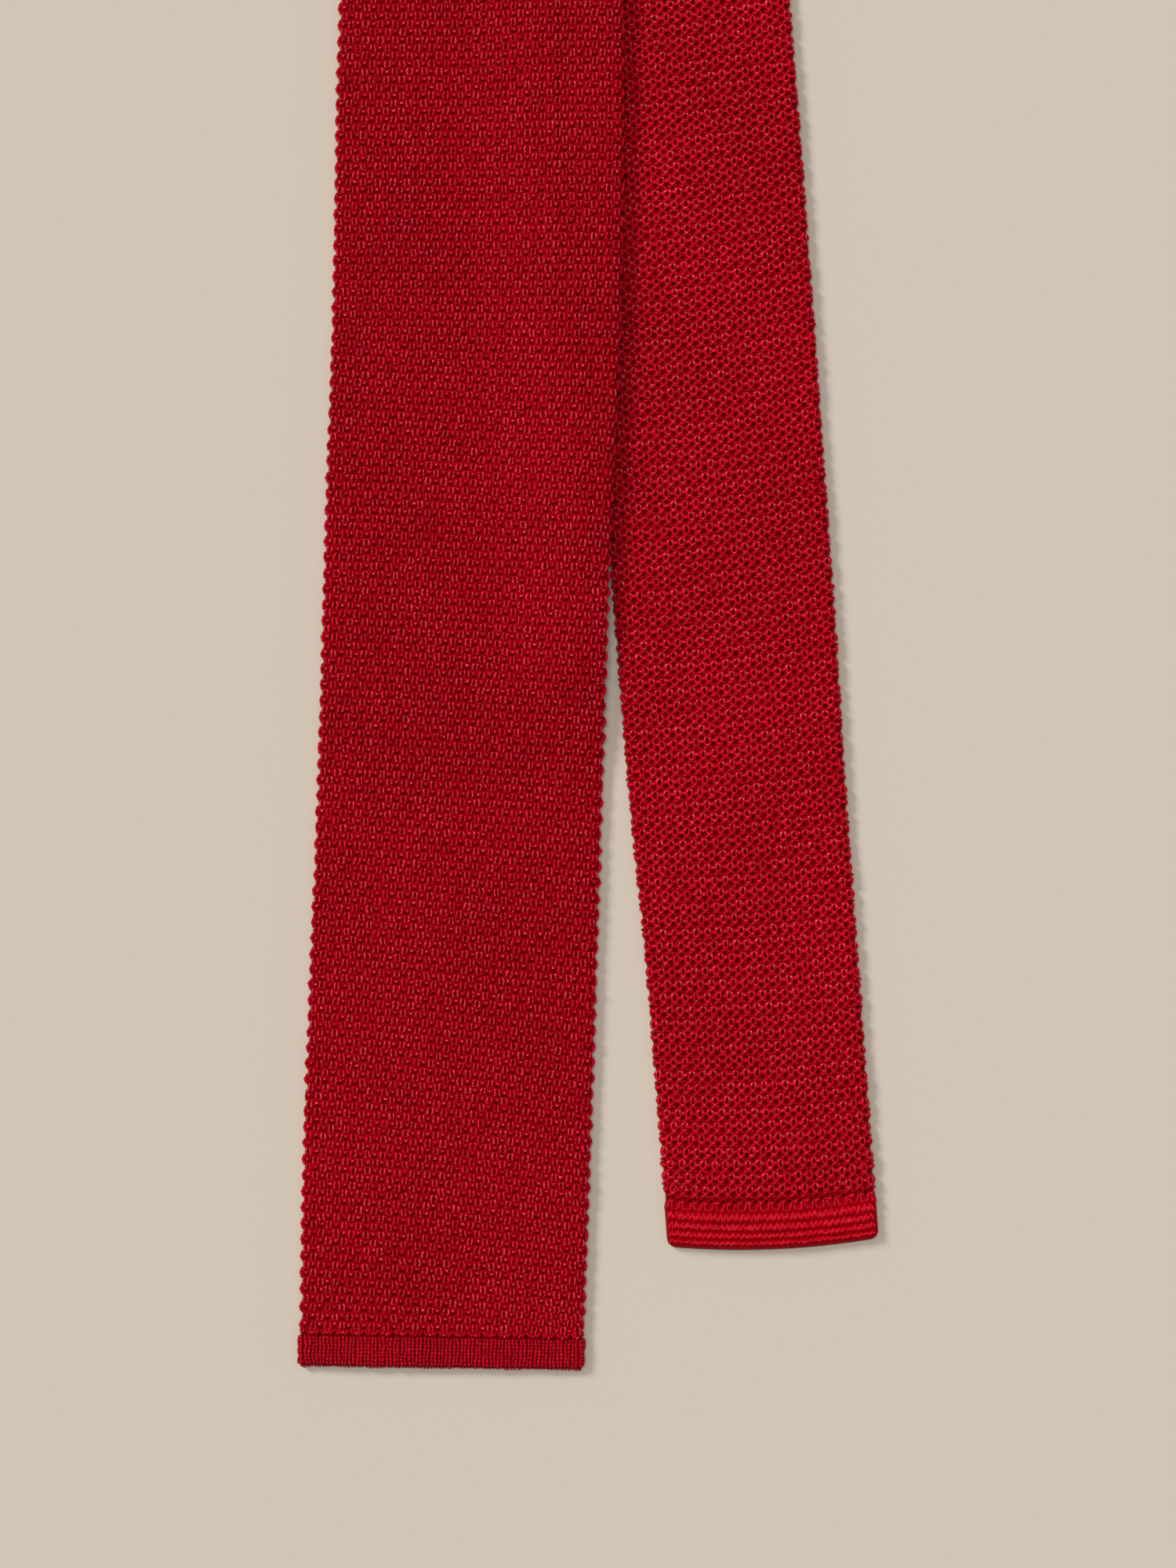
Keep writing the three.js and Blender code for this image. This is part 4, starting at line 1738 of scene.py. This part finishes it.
@dataclass
class Blade:
    """A blade between its hem and the neck band."""

    knit: Knit
    name: str
    courses: CourseMap
    ground: bpy.types.Material
    stitches: dict[Detail, Stitch]
    seen_parts: int
    step: float
    seen_to: float = 293.0
    unseen_step: float = 4.0
    hem_gap: float = 0.9

    def build(self, hem: Hem, rests_on: tuple[str, ...] = ()) -> None:
        """Build the cloth, its stitches and its hem.

        Args:
            hem: The hem at its tip.
            rests_on: Not used.
        """
        knit, arm = self.knit, self.courses.arm
        setter = knit.setter
        low, high = arm.tip_y + arm.hem, knit.band_low
        heights = lay_heights((low, self.seen_to, self.step), (self.seen_to, high, self.unseen_step))
        cloth = knit.tube.arm_piece(f"{self.name}_cloth", self.courses, heights, False, self.ground)
        declare(cloth, "knit_body", self.name)
        first = low + self.hem_gap
        stops = np.linspace(first, self.seen_to, self.seen_parts + 1)
        stretches = [(f"rings_{i + 1}", Detail.FULL, stops[i], stops[i + 1]) for i in range(self.seen_parts)]
        stretches.append(("rings_top", Detail.PLAIN, self.seen_to, high))
        pieces = [
            setter.fill(f"{self.name}_{part}", self.stitches[detail], knit.yarn, self.courses, start, stop)
            for part, detail, start, stop in stretches
        ]
        pieces.append(setter.edge(f"{self.name}_edges", knit.yarn, self.courses, first, high))
        for piece in pieces:
            declare(piece, "knit_body")
        width = float(knit.tie.girth(arm, heights).mean())
        list(hem.build())


@dataclass
class NeckBand:
    """The middle of the tie, from the wide arm round the soft fold and back on the narrow arm."""

    knit: Knit
    step: float = 5.0
    slit_every: int = 4
    fold_steps: int = 14
    slit_turns: int = 9
    stitched_fold: float = 0.75

    def build(self) -> None:
        """Build the cloth and its stitches."""
        knit, tie = self.knit, self.knit.tie
        tube = knit.tube
        low = knit.band_low
        above = lay_heights((low, tie.fold_start, self.step))
        over = tie.fold_start + np.linspace(0, 1, self.fold_steps + 1)[1:] * tie.fold_run
        below = above[::-1][1:]
        upper, upper_uv = tube.arm_skin(knit.wide_courses, np.concatenate([above, over]))
        lower, lower_uv = tube.arm_skin(knit.narrow_courses, below, turned=True)
        slit_above = tube.arm_slit(knit.wide_courses, np.append(above[:-1 : self.slit_every], above[-1]))
        slit_below = tube.arm_slit(knit.narrow_courses, np.append(below[:-1 : self.slit_every], below[-1]))
        size = slit_below.shape[1]
        turned = (size // 2 - np.arange(size)) % size
        outer = np.concatenate([upper, lower])
        uv = np.concatenate([upper_uv, lower_uv])
        inner = np.concatenate([slit_above, self.fold_slit(), slit_below[:, turned]])
        cloth = tube.close("neck_band_cloth", outer, uv, inner, False, knit.wide_ground)
        declare(cloth, "knit_body", "neck_band")
        top = tie.fold_start + tie.fold_run * self.stitched_fold
        legs = (
            ("neck_band", WIDE_STITCHES, knit.wide_courses, top),
            ("neck_band_lower", NARROW_STITCHES, knit.narrow_courses, tie.fold_start),
        )
        pieces: list[bpy.types.Object] = []
        for name, stitches, courses, end in legs:
            rings = stitches[Detail.PLAIN]
            pieces.append(knit.setter.fill(f"{name}_rings", rings, knit.yarn, courses, low, end))
            pieces.append(knit.setter.edge(f"{name}_edges", knit.yarn, courses, low, end))
        for piece in pieces:
            declare(piece, "knit_body")
        width = float(tie.girth(tie.wide, above).mean())

    def fold_slit(self) -> np.ndarray:
        """Work out the slit round the fold.

        Returns:
            Rings of points.
        """
        tie, tube = self.knit.tie, self.knit.tube
        turn = np.linspace(0, 1, self.slit_turns)[1:-1]
        half = np.full_like(turn, tie.neck_width / 2 - tie.yarn_relief / 2 - tube.ply)
        slit = np.full_like(turn, tube.slit / 2)
        q = tube.stops(half, slit)
        x, z, _, _ = tie.outline(half[:, None], slit[:, None], q)
        turns = np.repeat(turn[:, None], q.shape[1], axis=1)
        return tie.round_fold(turns, x, z - tie.cloth_half) - tie.origin


def main() -> None:
    """Build the tie's finished surface, the floor, the light and the camera."""
    logging.basicConfig(level=logging.INFO, format="%(message)s")
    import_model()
    tie = LaidTie()
    tie.settle()
    studio = Studio(tie)
    studio.place_camera()
    studio.lay_floor()
    studio.hang_lights()
    knit = Knit(tie)
    narrow_hem = JerseyHem(knit, "narrow_hem", knit.narrow_courses, knit.jersey_shaded_ground, reach=18)
    narrow = Blade(
        knit, "narrow_blade", knit.narrow_courses, knit.narrow_ground, NARROW_STITCHES, seen_parts=2, step=1.3
    )
    narrow.build(narrow_hem)
    wide_hem = PurlHem(knit, "wide_hem", knit.wide_courses, knit.purl_shaded_ground, reach=20)
    wide = Blade(
        knit, "wide_blade", knit.wide_courses, knit.wide_ground, WIDE_STITCHES, seen_parts=2, step=0.83
    )
    wide.build(wide_hem, ("narrow_blade",))
    NeckBand(knit).build()
    knit.setter.put_away()


if __name__ == "__main__":
    main()
